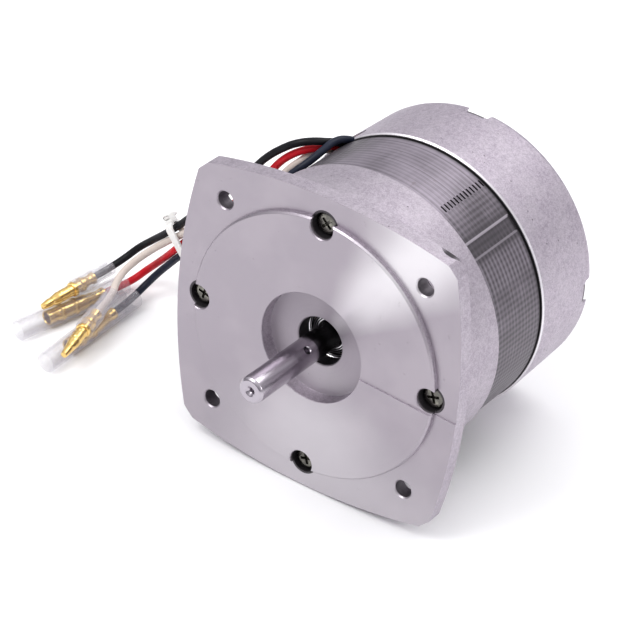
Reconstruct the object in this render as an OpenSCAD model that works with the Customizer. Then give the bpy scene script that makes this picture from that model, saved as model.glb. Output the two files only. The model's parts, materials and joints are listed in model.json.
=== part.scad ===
// Small capacitor-run induction motor with a square flange and four terminated leads.
// Origin: centre of the flange's mounting face, on the shaft's axis.
// The shaft points along -Y, +X is to the right seen from the shaft end, +Z is up.

/* [Flange] */
// Half width of the flange at the middle of a side
flange_half = 47.5; // [46.5:0.1:48]
// Radius of the flange's bowed sides
side_arc_r = 171.4; // [160:0.2:190]
// Radius that trims the flange's corners
corner_r = 58.4; // [57.5:0.1:59]
// Thickness of the flange
flange_t = 5; // [4.5:0.1:5.5]
// Pitch circle of the four mounting holes
mount_pcd = 94; // [93.5:0.1:94.5]
// Diameter of the mounting holes
mount_hole_d = 5.2; // [4.8:0.1:5.5]

/* [Pilot and recess] */
// Diameter of the raised pilot
pilot_d = 81.5; // [81:0.1:82]
// Height of the pilot above the mounting face
pilot_h = 1.8; // [1.5:0.1:2]
// Chamfer round the pilot's edge
pilot_chamfer = 0.6; // [0.4:0.1:0.7]
// Diameter of the recess round the shaft
recess_d = 33.6; // [32:0.2:34]
// Depth of the recess's floor behind the mounting face
recess_floor = 2.8; // [2.4:0.1:3.2]
// Diameter of the opening round the shaft
opening_d = 15; // [14:0.1:16]

/* [Housing] */
// Radius of the front bracket's drum at its rear edge
drum_r = 43.1; // [42.9:0.1:43.4]
// Radius of the front bracket's drum where it leaves the flange
front_drum_r = 43.4; // [43.1:0.1:43.6]
// Where the front bracket meets the stator
drum_end = 27.5; // [27.2:0.1:28]
// Radius of the stator core
stator_r = 42.3; // [42.2:0.1:42.5]
// Where the stator meets the rear bracket
stator_end = 50; // [49.8:0.1:50.4]
// Where the rear bracket ends
housing_end = 78.6; // [78:0.1:80]
// Radius of the rear bracket at its closed end
rear_end_r = 42.3; // [42:0.1:42.6]
// Width of the open joint between the stator and the rear bracket's rim
rim_gap = 0.8; // [0.6:0.1:1]

/* [Through bolts] */
// Pitch circle radius of the through bolts
bolt_circle_r = 39; // [38.9:0.1:39.1]
// Diameter of the bolts
bolt_d = 4; // [3.9:0.1:4]
// Diameter of the bolt heads' counterbores
counterbore_d = 7.5; // [7.3:0.1:7.7]
// Diameter of the rear spot-faces
spotface_d = 10; // [9.4:0.2:10.4]

/* [Shaft and rotor] */
// Diameter of the shaft's output end
shaft_d = 8; // [7.9:0.1:8]
// Length of the shaft in front of the mounting face
shaft_length = 30; // [28:0.5:32]
// Diameter of the cross hole
cross_hole_d = 2.2; // [2:0.1:2.4]
// Radius of the rotor
rotor_r = 22; // [21.8:0.1:22]
// Radial air gap between the rotor and the stator
air_gap = 0.35; // [0.3:0.05:0.4]

/* [Leads] */
// Outer diameter of a lead's insulation
lead_d = 2.3; // [2.2:0.05:2.4]
// Outer diameter of a socket's clear sleeve
socket_sleeve_d = 6.6; // [6.4:0.1:6.6]
// Outer diameter of a plug's clear sleeve
plug_sleeve_d = 5.6; // [5.2:0.1:5.6]

/* [Hidden] */

$fn = 96;
cardinals = [0, 90, 180, 270];
through = 0.5;              // how far a cutting shape runs past the face it cuts

// bearings: 8 x 22 x 7 deep-groove, one in each bracket
bearing_w = 7;
bearing_r = 11;
inner_ring_r = 6.2;
outer_ring_bore_r = 8.9;
ball_r = 1.9;
race_r = 2.05;
ball_pitch_r = 7.5;
ball_count = 7;
front_bearing_y = 8;
rear_bearing_y = 64;
shield_t = 0.35;
shield_inset = 0.25;
shield_gap = 0.2;

// brackets
cavity_r = 38.4;
front_wall_end = 6.5;
hub_r = 15;
front_hub_end = 17;
boss_r = 4.3;
boss_limit_r = 42;
bolt_hole_d = 4.4;
bolt_head_r = 3.5;
bolt_head_h = 2.8;
washer_t = 0.8;
counterbore_floor = 4.6;
rear_wall_start = 73.6;
rear_hub_start = 62.5;
wave_washer_t = 1;
tapped_start = 62;
spotface_y = 74.8;
bolt_end = 76.8;
land_r = 41.6;
circlip_y = 15.1;
circlip_t = 1;
circlip_depth = 0.7;
scribe_w = 0.9;
scribe_depth = 0.35;
scribe_angle = 3.4;
scribe_drop = 1.4;

// stator and rotor
slot_count = 24;
slot_root_r = 25.2;
slot_top_r = 33.4;
slot_half_deg = 4.6;
slot_mouth = 2.2;
liner_t = 0.3;
wedge_t = 1;
end_turn_h = 11.5;
end_turn_in_r = 25.6;
end_turn_out_r = 34;
end_turn_round = 3;
seam_groove_w = 4.8;
seam_groove_depth = 0.5;
rotor_y = 28;
rotor_len = 21.5;
bar_count = 22;
bar_r = 1.4;
bar_circle_r = 19.4;
end_ring_t = 4.5;
end_ring_in_r = 12;
end_ring_out_r = 21.4;
rotor_shaft_r = 6;
shaft_shoulder_y = front_bearing_y + bearing_w;
shaft_end_y = rear_bearing_y + bearing_w + 0.5;
neck_r = shaft_d / 2 - 0.2;
tip_chamfer = 0.8;
cross_hole_y = -7;
cross_hole_deg = 51;

// leads: where they leave the grommet, and how they lean outwards there
notch_deg = 135.25;
notch_w = 13.4;
notch_end = stator_end + 7;
lead_spacing = 2.66;
exit_r = 41.6;
exit_y = 52.9;
exit_lean = 38;
lead_sides = 8;

// plugs and sockets: each lies from its mouth or tip to the end where its lead comes in
black_plug_at = [[-105, 10.4, -38.1], [-101, 38.4, -35.3]];
white_plug_at = [[-85.5, -3.1, -40.2], [-91.5, 27.2, -35.3]];
red_socket_at = [[-108, 3, -44.3], [-97.9, 41.6, -41.6]];
navy_socket_at = [[-91.2, -4.2, -44.8], [-91.2, 37.8, -41.9]];
plug_r = 1.85;
plug_bare = 13;
plug_barrel_end = 21;
plug_collar_r = 2.3;
socket_bore_r = 1.9;
socket_r = 2.35;
socket_rib_r = 2.8;
socket_mouth = 10.5;
socket_tube_end = 25;
socket_barrel_end = 32;
sleeve_wall = 0.5;

// cable tie: the row of leads it holds, from the black one to the navy one
tie_at = [-79.6, 44.7, -19.3];
tie_turn = 40;
tie_half_row = 3.8;
tie_inner_r = 2.05;
tie_t = 0.9;
tie_w = 2.6;
tie_head = 3.8;

// routes of the leads, from the grommet to the middle of their plug or socket
route_navy = [
    [-24.6, 56.7, 30], [-28.1, 50.2, 33.5], [-29.4, 46.4, 33.6], [-30.3, 42.5, 32.1],
    [-31.8, 39, 29.8], [-34.5, 36, 26.6], [-38, 34.5, 22.2], [-41.3, 34, 16.8],
    [-45, 34.6, 11.2], [-49, 35.8, 5.8], [-53.5, 37.2, 0.6], [-58.5, 38.8, -4.4],
    [-63.8, 40.4, -9.4], [-69.2, 42, -14.4], [-74.5, 43.6, -19.6], [-79.8, 45, -25.2],
    [-84.4, 45.6, -30.6], [-88.2, 45.2, -35.4], [-90.6, 43, -39.2], [-91.4, 38.4, -41.5],
    [-91.2, 28.8, -42.5], [-91.2, 23.6, -42.9]
];
route_black = [
    [-26.5, 56.7, 28.1], [-30.1, 50.1, 31.7], [-32, 46.4, 32.8], [-34.8, 43.6, 33],
    [-38.8, 41.6, 31.6], [-43, 40.6, 28.6], [-47.2, 39.8, 24.6], [-50.8, 39.4, 20],
    [-54.4, 39.6, 15], [-58.4, 40.2, 10], [-62.8, 41, 5.2], [-67.4, 42, 0.4],
    [-72.2, 43.2, -4.8], [-76.8, 44.4, -10.2], [-81.6, 45, -15.6], [-86.8, 45.8, -20.8],
    [-92, 46.4, -25.6], [-96.6, 46, -30], [-99.6, 43.4, -33.6], [-101, 38.8, -35.2],
    [-101.9, 32.1, -35.9], [-102.7, 26.4, -36.5]
];
route_red = [
    [-28.4, 56.7, 26.2], [-32, 50.1, 29.8], [-33.6, 46.6, 30.2], [-36.4, 43.8, 29.6],
    [-40.4, 42.2, 27], [-44, 41.4, 23.2], [-47, 40.8, 18.4], [-50.4, 41, 13.6],
    [-54.2, 41.6, 8.8], [-58.4, 42.6, 4], [-63, 43.8, -0.8], [-67.6, 44.8, -5.9],
    [-72, 45.6, -11.2], [-76.2, 45.8, -16.8], [-80.4, 45, -22.1], [-85, 46.4, -27.6],
    [-90, 47.8, -33.2], [-94.4, 47.8, -38], [-97, 44.8, -41], [-98.4, 40, -41.8],
    [-99.7, 34.9, -42.1], [-101, 29.8, -42.4]
];
route_white = [
    [-30.3, 56.7, 24.3], [-33.9, 50.1, 27.9], [-35.8, 46.4, 28], [-37.6, 43.6, 25.8],
    [-40.4, 41.6, 22.6], [-43.2, 40.4, 18.4], [-46.4, 39.6, 13.8], [-50, 39.2, 9],
    [-54.6, 39, 4.6], [-59.6, 39.4, 0.4], [-64.8, 40, -3.8], [-70, 41, -8.4],
    [-75.4, 42.6, -13.4], [-81, 45, -18.8], [-86.2, 45.2, -23.4], [-90.8, 43.4, -27.8],
    [-93.6, 39.6, -31.2], [-94.2, 35.2, -33.2], [-93.2, 31, -34.5], [-91.5, 27.2, -35.3],
    [-89.7, 18.2, -36.8], [-88.6, 12.6, -37.7]
];

// ---- helpers ----

// a profile of [radius, y] points turned round the shaft's axis
module turned(profile) {
    rotate([-90, 0, 0]) rotate_extrude($fn = 180) polygon(profile);
}

// a ring round the shaft's axis
module ring(outer, inner, y0, y1) {
    turned([[inner, y0], [outer, y0], [outer, y1], [inner, y1]]);
}

// a round bar along Y
module bar(r, y0, y1) {
    translate([0, y0, 0]) rotate([-90, 0, 0]) cylinder(r = r, h = y1 - y0);
}

// a flat outline in X and Z, thickened from y0 to y1
module slab(y0, y1) {
    translate([0, y1, 0]) rotate([90, 0, 0]) linear_extrude(y1 - y0) children();
}

// copies at the four sides of the housing, at a radius
module at_sides(r) {
    for (a = cardinals) rotate([0, a, 0]) translate([r, 0, 0]) children();
}

// turns a child that is built along +Z so that it runs from a to b
module along(ends) {
    d = ends[1] - ends[0];
    translate(ends[0])
        rotate([0, acos(d[2] / norm(d)), atan2(d[1], d[0])]) children();
}

// a profile of [radius, distance] points turned round +Z
module turned_z(profile, facets = 48) {
    rotate_extrude($fn = facets) polygon(profile);
}

function unit(v) = v / norm(v);

// direction of a route at point i
function heading(p, i) = unit(p[min(i + 1, len(p) - 1)] - p[max(i - 1, 0)]);

// the side direction of each ring, carried along so that the tube doesn't twist
function sides(p, i, last) =
    let (t = heading(p, i), s = unit(last - (last * t) * t))
    i == len(p) - 1 ? [s] : concat([s], sides(p, i + 1, s));

// a tube of a few flat sides through the points of a route
module tube(p, d) {
    s = sides(p, 0, [0.3, 0.2, 1]);
    n = lead_sides;
    points = [
        for (i = [0:len(p) - 1])
            let (u = s[i], v = cross(heading(p, i), u))
            for (k = [0:n - 1])
                let (a = 360 * k / n) p[i] + d / 2 * (cos(a) * u + sin(a) * v)
    ];
    last = (len(p) - 1) * n;
    faces = concat(
        [[for (k = [0:n - 1]) k]],
        [for (i = [0:len(p) - 2]) for (k = [0:n - 1])
            [i * n + k, (i + 1) * n + k, (i + 1) * n + (k + 1) % n]],
        [for (i = [0:len(p) - 2]) for (k = [0:n - 1])
            [i * n + k, (i + 1) * n + (k + 1) % n, i * n + (k + 1) % n]],
        [[for (k = [n - 1:-1:0]) last + k]]
    );
    polyhedron(points, faces);
}

// ---- brackets ----

module flange_outline() {
    intersection() {
        side_arc(0);
        side_arc(90);
        side_arc(180);
        side_arc(270);
        circle(r = corner_r, $fn = 240);
    }
}

// the large circle whose edge is one bowed side of the flange
module side_arc(a) {
    rotate(a) translate([0, flange_half - side_arc_r]) circle(r = side_arc_r, $fn = 360);
}

module bosses(y0, y1) {
    intersection() {
        at_sides(bolt_circle_r) bar(boss_r, y0, y1);
        bar(boss_limit_r, y0, y1);
    }
}

// the line scribed outwards across a face at y, from one radius to another
module scribe(y, from, to) {
    translate([0, y, -scribe_drop]) rotate([0, scribe_angle, 0])
        translate([from, -1, -scribe_w / 2]) cube([to - from, 1 + scribe_depth, scribe_w]);
}

module front_bracket() {
    color([0.76, 0.74, 0.78]) difference() {
        union() {
            slab(0, flange_t) flange_outline();
            turned([[0, -pilot_h], [pilot_d / 2 - pilot_chamfer, -pilot_h],
                    [pilot_d / 2, pilot_chamfer - pilot_h], [pilot_d / 2, through],
                    [0, through]]);
            turned([[cavity_r, flange_t - through], [front_drum_r, flange_t - through],
                    [drum_r, drum_end], [cavity_r, drum_end]]);
            bar(cavity_r + 1, flange_t - through, front_wall_end);
            bar(hub_r, flange_t, front_hub_end);
            bosses(flange_t, drum_end);
        }
        bar(recess_d / 2, -pilot_h - through, recess_floor);
        bar(opening_d / 2, 0, front_hub_end);
        bar(bearing_r, front_bearing_y, front_hub_end + through);
        ring(bearing_r + circlip_depth, bearing_r - 1, circlip_y, circlip_y + circlip_t);
        at_sides(bolt_circle_r) {
            bar(counterbore_d / 2, -pilot_h - through, counterbore_floor);
            bar(bolt_hole_d / 2, 0, drum_end + through);
        }
        for (a = [45, 135, 225, 315])
            rotate([0, a, 0]) translate([mount_pcd / 2, 0, 0])
                bar(mount_hole_d / 2, -through, flange_t + through);
        scribe(-pilot_h, recess_d / 2 - 1, pilot_d / 2);
        scribe(0, pilot_d / 2 - through, flange_half + 1);
    }
}

module rear_bracket() {
    color([0.72, 0.70, 0.73]) difference() {
        union() {
            turned([[cavity_r, stator_end], [land_r, stator_end],
                    [land_r, stator_end + rim_gap],
                    [drum_r - 0.5, stator_end + rim_gap],
                    [drum_r, stator_end + rim_gap + 0.5],
                    [rear_end_r, housing_end - 1], [rear_end_r - 1, housing_end],
                    [0, housing_end], [0, rear_wall_start], [cavity_r, rear_wall_start]]);
            bar(hub_r, rear_hub_start, rear_wall_start + through);
            bosses(stator_end + rim_gap, rear_wall_start + through);
        }
        bar(bearing_r, rear_hub_start - through, rear_bearing_y + bearing_w + wave_washer_t);
        bar(rotor_shaft_r, rear_hub_start, rear_wall_start);
        at_sides(bolt_circle_r) {
            bar(bolt_hole_d / 2, stator_end - through, tapped_start);
            bar(bolt_d / 2, tapped_start, spotface_y + through);
            bar(spotface_d / 2, spotface_y, housing_end + through);
        }
        rotate([0, -notch_deg, 0]) translate([cavity_r - 3, stator_end - through, -notch_w / 2])
            cube([drum_r - cavity_r + 6, notch_end - stator_end + through, notch_w]);
    }
}

module lead_grommet() {
    color([0.13, 0.13, 0.14]) rotate([0, -notch_deg, 0]) difference() {
        translate([0, 0, -notch_w / 2]) linear_extrude(notch_w)
            polygon([[36, 51.2], [40.2, 51.2], [42.6, 53.8], [42.6, notch_end], [36, notch_end]]);
        for (i = [-1.5:1:1.5])
            translate([exit_r, exit_y, i * lead_spacing])
                rotate([0, 0, exit_lean]) rotate([90, 0, 0])
                    translate([0, 0, -8]) cylinder(r = lead_d / 2, h = 10, $fn = 24);
    }
}

module through_bolts() {
    color([0.33, 0.33, 0.32]) at_sides(bolt_circle_r) difference() {
        union() {
            bolt_head();
            bar(bolt_d / 2, counterbore_floor - washer_t, bolt_end);
        }
        for (a = [0, 90]) rotate([0, a, 0])
            translate([-1.9, head_front_y - through, -0.5]) cube([3.8, 1.3 + through, 1]);
    }
}

head_front_y = counterbore_floor - washer_t - bolt_head_h;

// cheese head with a slightly rounded top edge
module bolt_head() {
    rotate([-90, 0, 0]) rotate_extrude($fn = 48)
        polygon([[0, head_front_y], [bolt_head_r - 0.7, head_front_y],
                 [bolt_head_r, head_front_y + 0.7],
                 [bolt_head_r, counterbore_floor - washer_t],
                 [0, counterbore_floor - washer_t]]);
}

module bolt_washers() {
    color([0.45, 0.45, 0.44]) at_sides(bolt_circle_r) difference() {
        bar(bolt_head_r, counterbore_floor - washer_t, counterbore_floor);
        bar(bolt_d / 2 + 0.1, 0, counterbore_floor + through);
    }
}

// ---- stator ----

// one slot, pointing along +X
module slot_outline(grow = 0) {
    root_half = slot_root_r * sin(slot_half_deg) + grow;
    top_half = slot_top_r * sin(slot_half_deg) + grow;
    polygon([[slot_root_r - grow, -root_half], [slot_top_r + grow, -top_half],
             [slot_top_r + grow, top_half], [slot_root_r - grow, root_half]]);
}

module each_slot() {
    for (i = [0:slot_count - 1]) rotate((i + 0.5) * 360 / slot_count) children();
}

module stator_core() {
    color([0.42, 0.40, 0.42]) slab(drum_end, stator_end) difference() {
        circle(r = stator_r, $fn = 240);
        circle(r = rotor_r + air_gap, $fn = 180);
        each_slot() {
            slot_outline();
            translate([rotor_r - 1, -slot_mouth / 2]) square([5, slot_mouth]);
        }
        for (a = cardinals) rotate(a) translate([bolt_circle_r, 0]) circle(d = bolt_hole_d);
        for (a = cardinals) rotate(a + 45)
            translate([stator_r - seam_groove_depth, -seam_groove_w / 2])
                square([2, seam_groove_w]);
    }
}

module slot_liners() {
    color([0.88, 0.84, 0.70]) slab(drum_end - 1, stator_end + 1) each_slot() difference() {
        slot_outline();
        slot_outline(-liner_t);
        translate([slot_root_r - 1, -slot_root_r]) square([1 + liner_t, 2 * slot_root_r]);
    }
}

module slot_wedges() {
    color([0.80, 0.74, 0.52]) slab(drum_end, stator_end) each_slot()
        translate([slot_root_r + liner_t, -1.4]) square([wedge_t, 2.8]);
}

module main_winding() {
    color([0.62, 0.30, 0.14]) union() {
        slab(drum_end - 2, stator_end + 2) each_slot() polygon([
            [slot_root_r + liner_t + wedge_t + 0.1, -1.4], [slot_top_r - 0.6, -2.1],
            [slot_top_r - 0.6, 2.1], [slot_root_r + liner_t + wedge_t + 0.1, 1.4]
        ]);
        end_turns(drum_end - 1.5 - end_turn_h);
        end_turns(stator_end + 1.5);
    }
}

// a fat rounded ring of end turns that starts at y0
module end_turns(y0) {
    c = end_turn_round;
    turned([
        for (corner = [[end_turn_out_r - c, y0 + c, 270], [end_turn_out_r - c, y0 + end_turn_h - c, 0],
                       [end_turn_in_r + c, y0 + end_turn_h - c, 90], [end_turn_in_r + c, y0 + c, 180]])
            for (a = [0:22.5:90])
                [corner[0] + c * cos(corner[2] + a), corner[1] + c * sin(corner[2] + a)]
    ]);
}

// flat cords that bind the end turns, one frame round the ring at each place
module winding_lacing() {
    reach = end_turn_h + 1;
    color([0.90, 0.88, 0.80])
        for (y0 = [drum_end - 1.5 - end_turn_h - 0.5, stator_end + 1])
            for (i = [0:11]) rotate([0, i * 30, 0])
                translate([0, 0, -0.4]) linear_extrude(0.8) difference() {
                    translate([end_turn_in_r - 0.5, y0])
                        square([end_turn_out_r - end_turn_in_r + 1, reach]);
                    translate([end_turn_in_r - 0.05, y0 + 0.45])
                        square([end_turn_out_r - end_turn_in_r + 0.1, reach - 0.9]);
                }
}

// ---- rotor ----

module rotor_core() {
    color([0.40, 0.39, 0.40]) slab(rotor_y, rotor_y + rotor_len) difference() {
        circle(r = rotor_r, $fn = 180);
        circle(r = rotor_shaft_r);
        for (i = [0:bar_count - 1]) rotate(i * 360 / bar_count)
            translate([bar_circle_r, 0]) circle(r = bar_r, $fn = 32);
    }
}

module rotor_cage() {
    color([0.78, 0.78, 0.80]) union() {
        for (i = [0:bar_count - 1]) rotate([0, -i * 360 / bar_count, 0])
            translate([bar_circle_r, rotor_y - 1, 0]) rotate([-90, 0, 0])
                cylinder(r = bar_r, h = rotor_len + 2, $fn = 32);
        for (y0 = [rotor_y - end_ring_t, rotor_y + rotor_len])
            ring(end_ring_out_r, end_ring_in_r, y0, y0 + end_ring_t);
    }
}

module shaft() {
    r = shaft_d / 2;
    tip = -shaft_length;
    color([0.62, 0.60, 0.62]) difference() {
        turned([
            [0, tip], [r - tip_chamfer, tip], [r, tip + tip_chamfer], [r, recess_floor],
            [neck_r, recess_floor + 0.2], [neck_r, front_bearing_y - 0.2],
            [r, front_bearing_y], [r, shaft_shoulder_y],
            [rotor_shaft_r, shaft_shoulder_y], [rotor_shaft_r, rear_bearing_y],
            [r, rear_bearing_y], [r, shaft_end_y - 0.5], [r - 0.5, shaft_end_y],
            [0, shaft_end_y]
        ]);
        turned([[0, tip - 1], [1.9, tip - 1], [0.9, tip + 0.8], [0.6, tip + 2], [0, tip + 2.4]]);
        translate([0, cross_hole_y, 0]) rotate([0, -cross_hole_deg, 0])
            rotate([0, 90, 0]) cylinder(d = cross_hole_d, h = 3 * r, center = true, $fn = 48);
    }
}

// ---- bearings ----

function ball_angles() = [for (i = [0:ball_count - 1]) i * 360 / ball_count];

module outer_ring(y0) {
    difference() {
        ring(bearing_r, outer_ring_bore_r, y0, y0 + bearing_w);
        rotate([-90, 0, 0]) rotate_extrude($fn = 180)
            translate([ball_pitch_r, y0 + bearing_w / 2]) circle(r = race_r, $fn = 48);
    }
}

module inner_ring(y0) {
    difference() {
        ring(inner_ring_r, shaft_d / 2, y0, y0 + bearing_w);
        rotate([-90, 0, 0]) rotate_extrude($fn = 180)
            translate([ball_pitch_r, y0 + bearing_w / 2]) circle(r = race_r, $fn = 48);
    }
}

module balls(y0) {
    for (a = ball_angles()) rotate([0, a, 0])
        translate([ball_pitch_r, y0 + bearing_w / 2, 0]) sphere(r = ball_r, $fn = 32);
}

// crown cage: one ring beside the balls, with a pocket for each
module ball_cage(y0) {
    middle = y0 + bearing_w / 2;
    difference() {
        ring(8.1, 6.9, middle - 1.1, middle + 2.5);
        for (a = ball_angles()) rotate([0, a, 0])
            translate([inner_ring_r, middle, 0]) rotate([0, 90, 0])
                cylinder(r = ball_r + 0.05, h = outer_ring_bore_r - inner_ring_r, $fn = 32);
    }
}

module shields(y0) {
    for (y = [y0 + shield_inset, y0 + bearing_w - shield_inset - shield_t])
        ring(outer_ring_bore_r, inner_ring_r + shield_gap, y, y + shield_t);
}

module front_outer_ring() color([0.70, 0.70, 0.72]) outer_ring(front_bearing_y);
module front_inner_ring() color([0.74, 0.74, 0.76]) inner_ring(front_bearing_y);
module front_balls() color([0.85, 0.85, 0.87]) balls(front_bearing_y);
module front_ball_cage() color([0.55, 0.50, 0.40]) ball_cage(front_bearing_y);
module front_shields() color([0.60, 0.60, 0.62]) shields(front_bearing_y);
module rear_outer_ring() color([0.70, 0.70, 0.72]) outer_ring(rear_bearing_y);
module rear_inner_ring() color([0.74, 0.74, 0.76]) inner_ring(rear_bearing_y);
module rear_balls() color([0.85, 0.85, 0.87]) balls(rear_bearing_y);
module rear_ball_cage() color([0.55, 0.50, 0.40]) ball_cage(rear_bearing_y);
module rear_shields() color([0.60, 0.60, 0.62]) shields(rear_bearing_y);

module front_circlip() {
    color([0.25, 0.25, 0.26]) difference() {
        ring(bearing_r + circlip_depth, bearing_r - 1.2, circlip_y, circlip_y + circlip_t);
        translate([0, circlip_y - through, -1.5]) cube([2 * bearing_r, circlip_t + 2 * through, 3]);
    }
}

module wave_washer() {
    y0 = rear_bearing_y + bearing_w;
    color([0.50, 0.50, 0.52]) difference() {
        ring(bearing_r - 0.3, outer_ring_bore_r, y0, y0 + wave_washer_t);
        for (a = [0, 120, 240]) rotate([0, a, 0])
            translate([6, y0 - through, -2]) cube([8, 0.35 + through, 4]);
        for (a = [60, 180, 300]) rotate([0, a, 0])
            translate([6, y0 + wave_washer_t - 0.35, -2]) cube([8, 0.35 + through, 4]);
    }
}

// ---- leads ----

module lead_splices() {
    color([0.92, 0.90, 0.84]) rotate([0, -notch_deg, 0]) for (i = [-1.5:1:1.5])
        translate([36.9, notch_end, i * lead_spacing]) rotate([-90, 0, 0])
            cylinder(r = 1.25, h = 11, $fn = 24);
}

module lead_black() color([0.06, 0.06, 0.07]) tube(route_black, lead_d);
module lead_white() color([0.90, 0.87, 0.83]) tube(route_white, lead_d);
module lead_red() color([0.80, 0.10, 0.14]) tube(route_red, lead_d);
module lead_navy() color([0.08, 0.10, 0.14]) tube(route_navy, lead_d);

// brass bullet: cone, waist, ringed barrel, collar, and a barrel crimped on the lead
module bullet(ends) {
    along(ends) difference() {
        turned_z([
            [0, 0], [plug_r - 0.75, 0], [plug_r, 1.6], [plug_r, 3.2], [plug_r - 0.35, 3.9],
            [plug_r - 0.35, 4.9], [plug_r, 5.6], [plug_r, plug_bare - 1],
            [plug_collar_r, plug_bare - 1], [plug_collar_r, plug_bare],
            [plug_r, plug_bare], [plug_r, 15], [plug_collar_r, 15.4], [plug_collar_r, 16.2],
            [plug_r, 16.6], [plug_r, plug_barrel_end], [0, plug_barrel_end]
        ]);
        translate([0, 0, plug_barrel_end - 5]) cylinder(r = lead_d / 2, h = 6);
    }
}

module black_plug() color([0.85, 0.66, 0.30]) bullet(black_plug_at);
module white_plug() color([0.85, 0.66, 0.30]) bullet(white_plug_at);

// brass receptacle: open tube with two raised rings, and a narrower barrel on the lead
module receptacle(ends) {
    along(ends) difference() {
        turned_z([
            [socket_bore_r, socket_mouth], [socket_r, socket_mouth], [socket_r, 15],
            [socket_rib_r, 15.3], [socket_rib_r, 16.1], [socket_r, 16.4], [socket_r, 20],
            [socket_rib_r, 20.3], [socket_rib_r, 21.1], [socket_r, 21.4],
            [socket_r, socket_tube_end], [socket_bore_r, socket_tube_end + 1],
            [socket_bore_r, socket_barrel_end], [0, socket_barrel_end], [0, socket_tube_end],
            [socket_bore_r, socket_tube_end]
        ]);
        translate([0, -0.2, 15]) cube([4, 0.4, 6]);
        translate([0, 0, socket_barrel_end - 4.5]) cylinder(r = lead_d / 2, h = 6);
    }
}

module red_socket() color([0.80, 0.62, 0.32]) receptacle(red_socket_at);
module navy_socket() color([0.80, 0.62, 0.32]) receptacle(navy_socket_at);

// straight clear sleeve over a socket
module socket_sleeve(ends) {
    r = socket_sleeve_d / 2;
    far_end = norm(ends[1] - ends[0]);
    along(ends) turned_z([
        [r - sleeve_wall, 0], [r, 0], [r, far_end], [r - sleeve_wall, far_end]
    ]);
}

// stepped clear sleeve over a plug's barrel and the start of its lead
module plug_sleeve(ends) {
    r = plug_sleeve_d / 2;
    neck = r - 0.5;
    far_end = norm(ends[1] - ends[0]);
    along(ends) turned_z([
        [r - sleeve_wall, plug_bare], [r, plug_bare], [r, 20.5], [neck, 22.5],
        [neck, far_end], [neck - sleeve_wall, far_end],
        [neck - sleeve_wall, 22.5], [r - sleeve_wall, 20.5]
    ]);
}

module black_sleeve() color([0.85, 0.83, 0.84, 0.5]) plug_sleeve(black_plug_at);
module white_sleeve() color([0.85, 0.83, 0.84, 0.5]) plug_sleeve(white_plug_at);
module red_sleeve() color([0.85, 0.83, 0.84, 0.5]) socket_sleeve(red_socket_at);
module navy_sleeve() color([0.85, 0.83, 0.84, 0.5]) socket_sleeve(navy_socket_at);

// the long hole that the tie's strap leaves, pulled out along a row of leads
module tie_outline(r) {
    for (x = [-tie_half_row, tie_half_row]) translate([x, 0]) circle(r = r, $fn = 48);
    translate([-tie_half_row, -r]) square([2 * tie_half_row, 2 * r]);
}

module cable_tie() {
    top = tie_half_row + tie_inner_r;
    color([0.92, 0.91, 0.88]) translate(tie_at) rotate([0, 90 - tie_turn, 0]) mirror([1, 0, 0]) difference() {
        union() {
            translate([0, 0, -tie_w / 2]) linear_extrude(tie_w) difference() {
                tie_outline(tie_inner_r + tie_t);
                tie_outline(tie_inner_r);
            }
            translate([top + 0.1, -tie_head / 2, -tie_head / 2]) cube([tie_head, tie_head, tie_head]);
            translate([top + 2, -tie_head / 2 - 2, -tie_w / 2 + 0.2])
                cube([tie_t, tie_head + 2.5, tie_w - 0.4]);
        }
        translate([top + 1.2, -tie_head, tie_head / 2 - 0.6]) cube([1.4, 2 * tie_head, 2]);
    }
}

front_bracket();
rear_bracket();
stator_core();
slot_liners();
slot_wedges();
main_winding();
winding_lacing();
rotor_core();
rotor_cage();
shaft();
front_outer_ring();
front_inner_ring();
front_balls();
front_ball_cage();
front_shields();
front_circlip();
rear_outer_ring();
rear_inner_ring();
rear_balls();
rear_ball_cage();
rear_shields();
wave_washer();
through_bolts();
bolt_washers();
lead_grommet();
lead_splices();
lead_black();
lead_white();
lead_red();
lead_navy();
black_plug();
white_plug();
red_socket();
navy_socket();
black_sleeve();
white_sleeve();
red_sleeve();
navy_sleeve();
cable_tie();
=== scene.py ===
"""The looks of a small square-flanged induction motor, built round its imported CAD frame."""

import json
import logging
import math
from contextlib import contextmanager
from dataclasses import dataclass, field
from enum import Enum
from itertools import pairwise
from typing import Any, Iterable, Iterator, Sequence

import bpy
from mathutils import Matrix, Vector

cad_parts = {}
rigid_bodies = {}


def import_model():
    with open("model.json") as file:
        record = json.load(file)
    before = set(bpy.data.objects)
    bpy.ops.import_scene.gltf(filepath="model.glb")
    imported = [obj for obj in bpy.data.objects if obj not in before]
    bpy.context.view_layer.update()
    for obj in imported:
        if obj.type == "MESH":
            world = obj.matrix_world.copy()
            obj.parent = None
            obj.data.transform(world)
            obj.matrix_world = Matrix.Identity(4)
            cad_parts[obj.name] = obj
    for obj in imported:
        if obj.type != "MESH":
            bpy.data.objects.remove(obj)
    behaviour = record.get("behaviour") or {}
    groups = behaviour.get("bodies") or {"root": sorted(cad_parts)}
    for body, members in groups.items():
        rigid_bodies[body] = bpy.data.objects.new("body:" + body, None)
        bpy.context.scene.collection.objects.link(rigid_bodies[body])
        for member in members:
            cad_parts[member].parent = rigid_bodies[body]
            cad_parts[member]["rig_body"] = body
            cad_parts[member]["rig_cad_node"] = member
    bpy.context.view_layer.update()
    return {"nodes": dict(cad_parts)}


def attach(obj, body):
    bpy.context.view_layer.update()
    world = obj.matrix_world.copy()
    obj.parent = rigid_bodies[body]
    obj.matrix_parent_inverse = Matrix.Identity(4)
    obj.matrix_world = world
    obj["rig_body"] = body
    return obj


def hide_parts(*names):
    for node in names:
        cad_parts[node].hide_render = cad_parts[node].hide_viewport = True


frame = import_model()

MM = 0.001
SIDES = (0, 90, 180, 270)
CORNERS = (45, 135, 225, 315)
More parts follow.
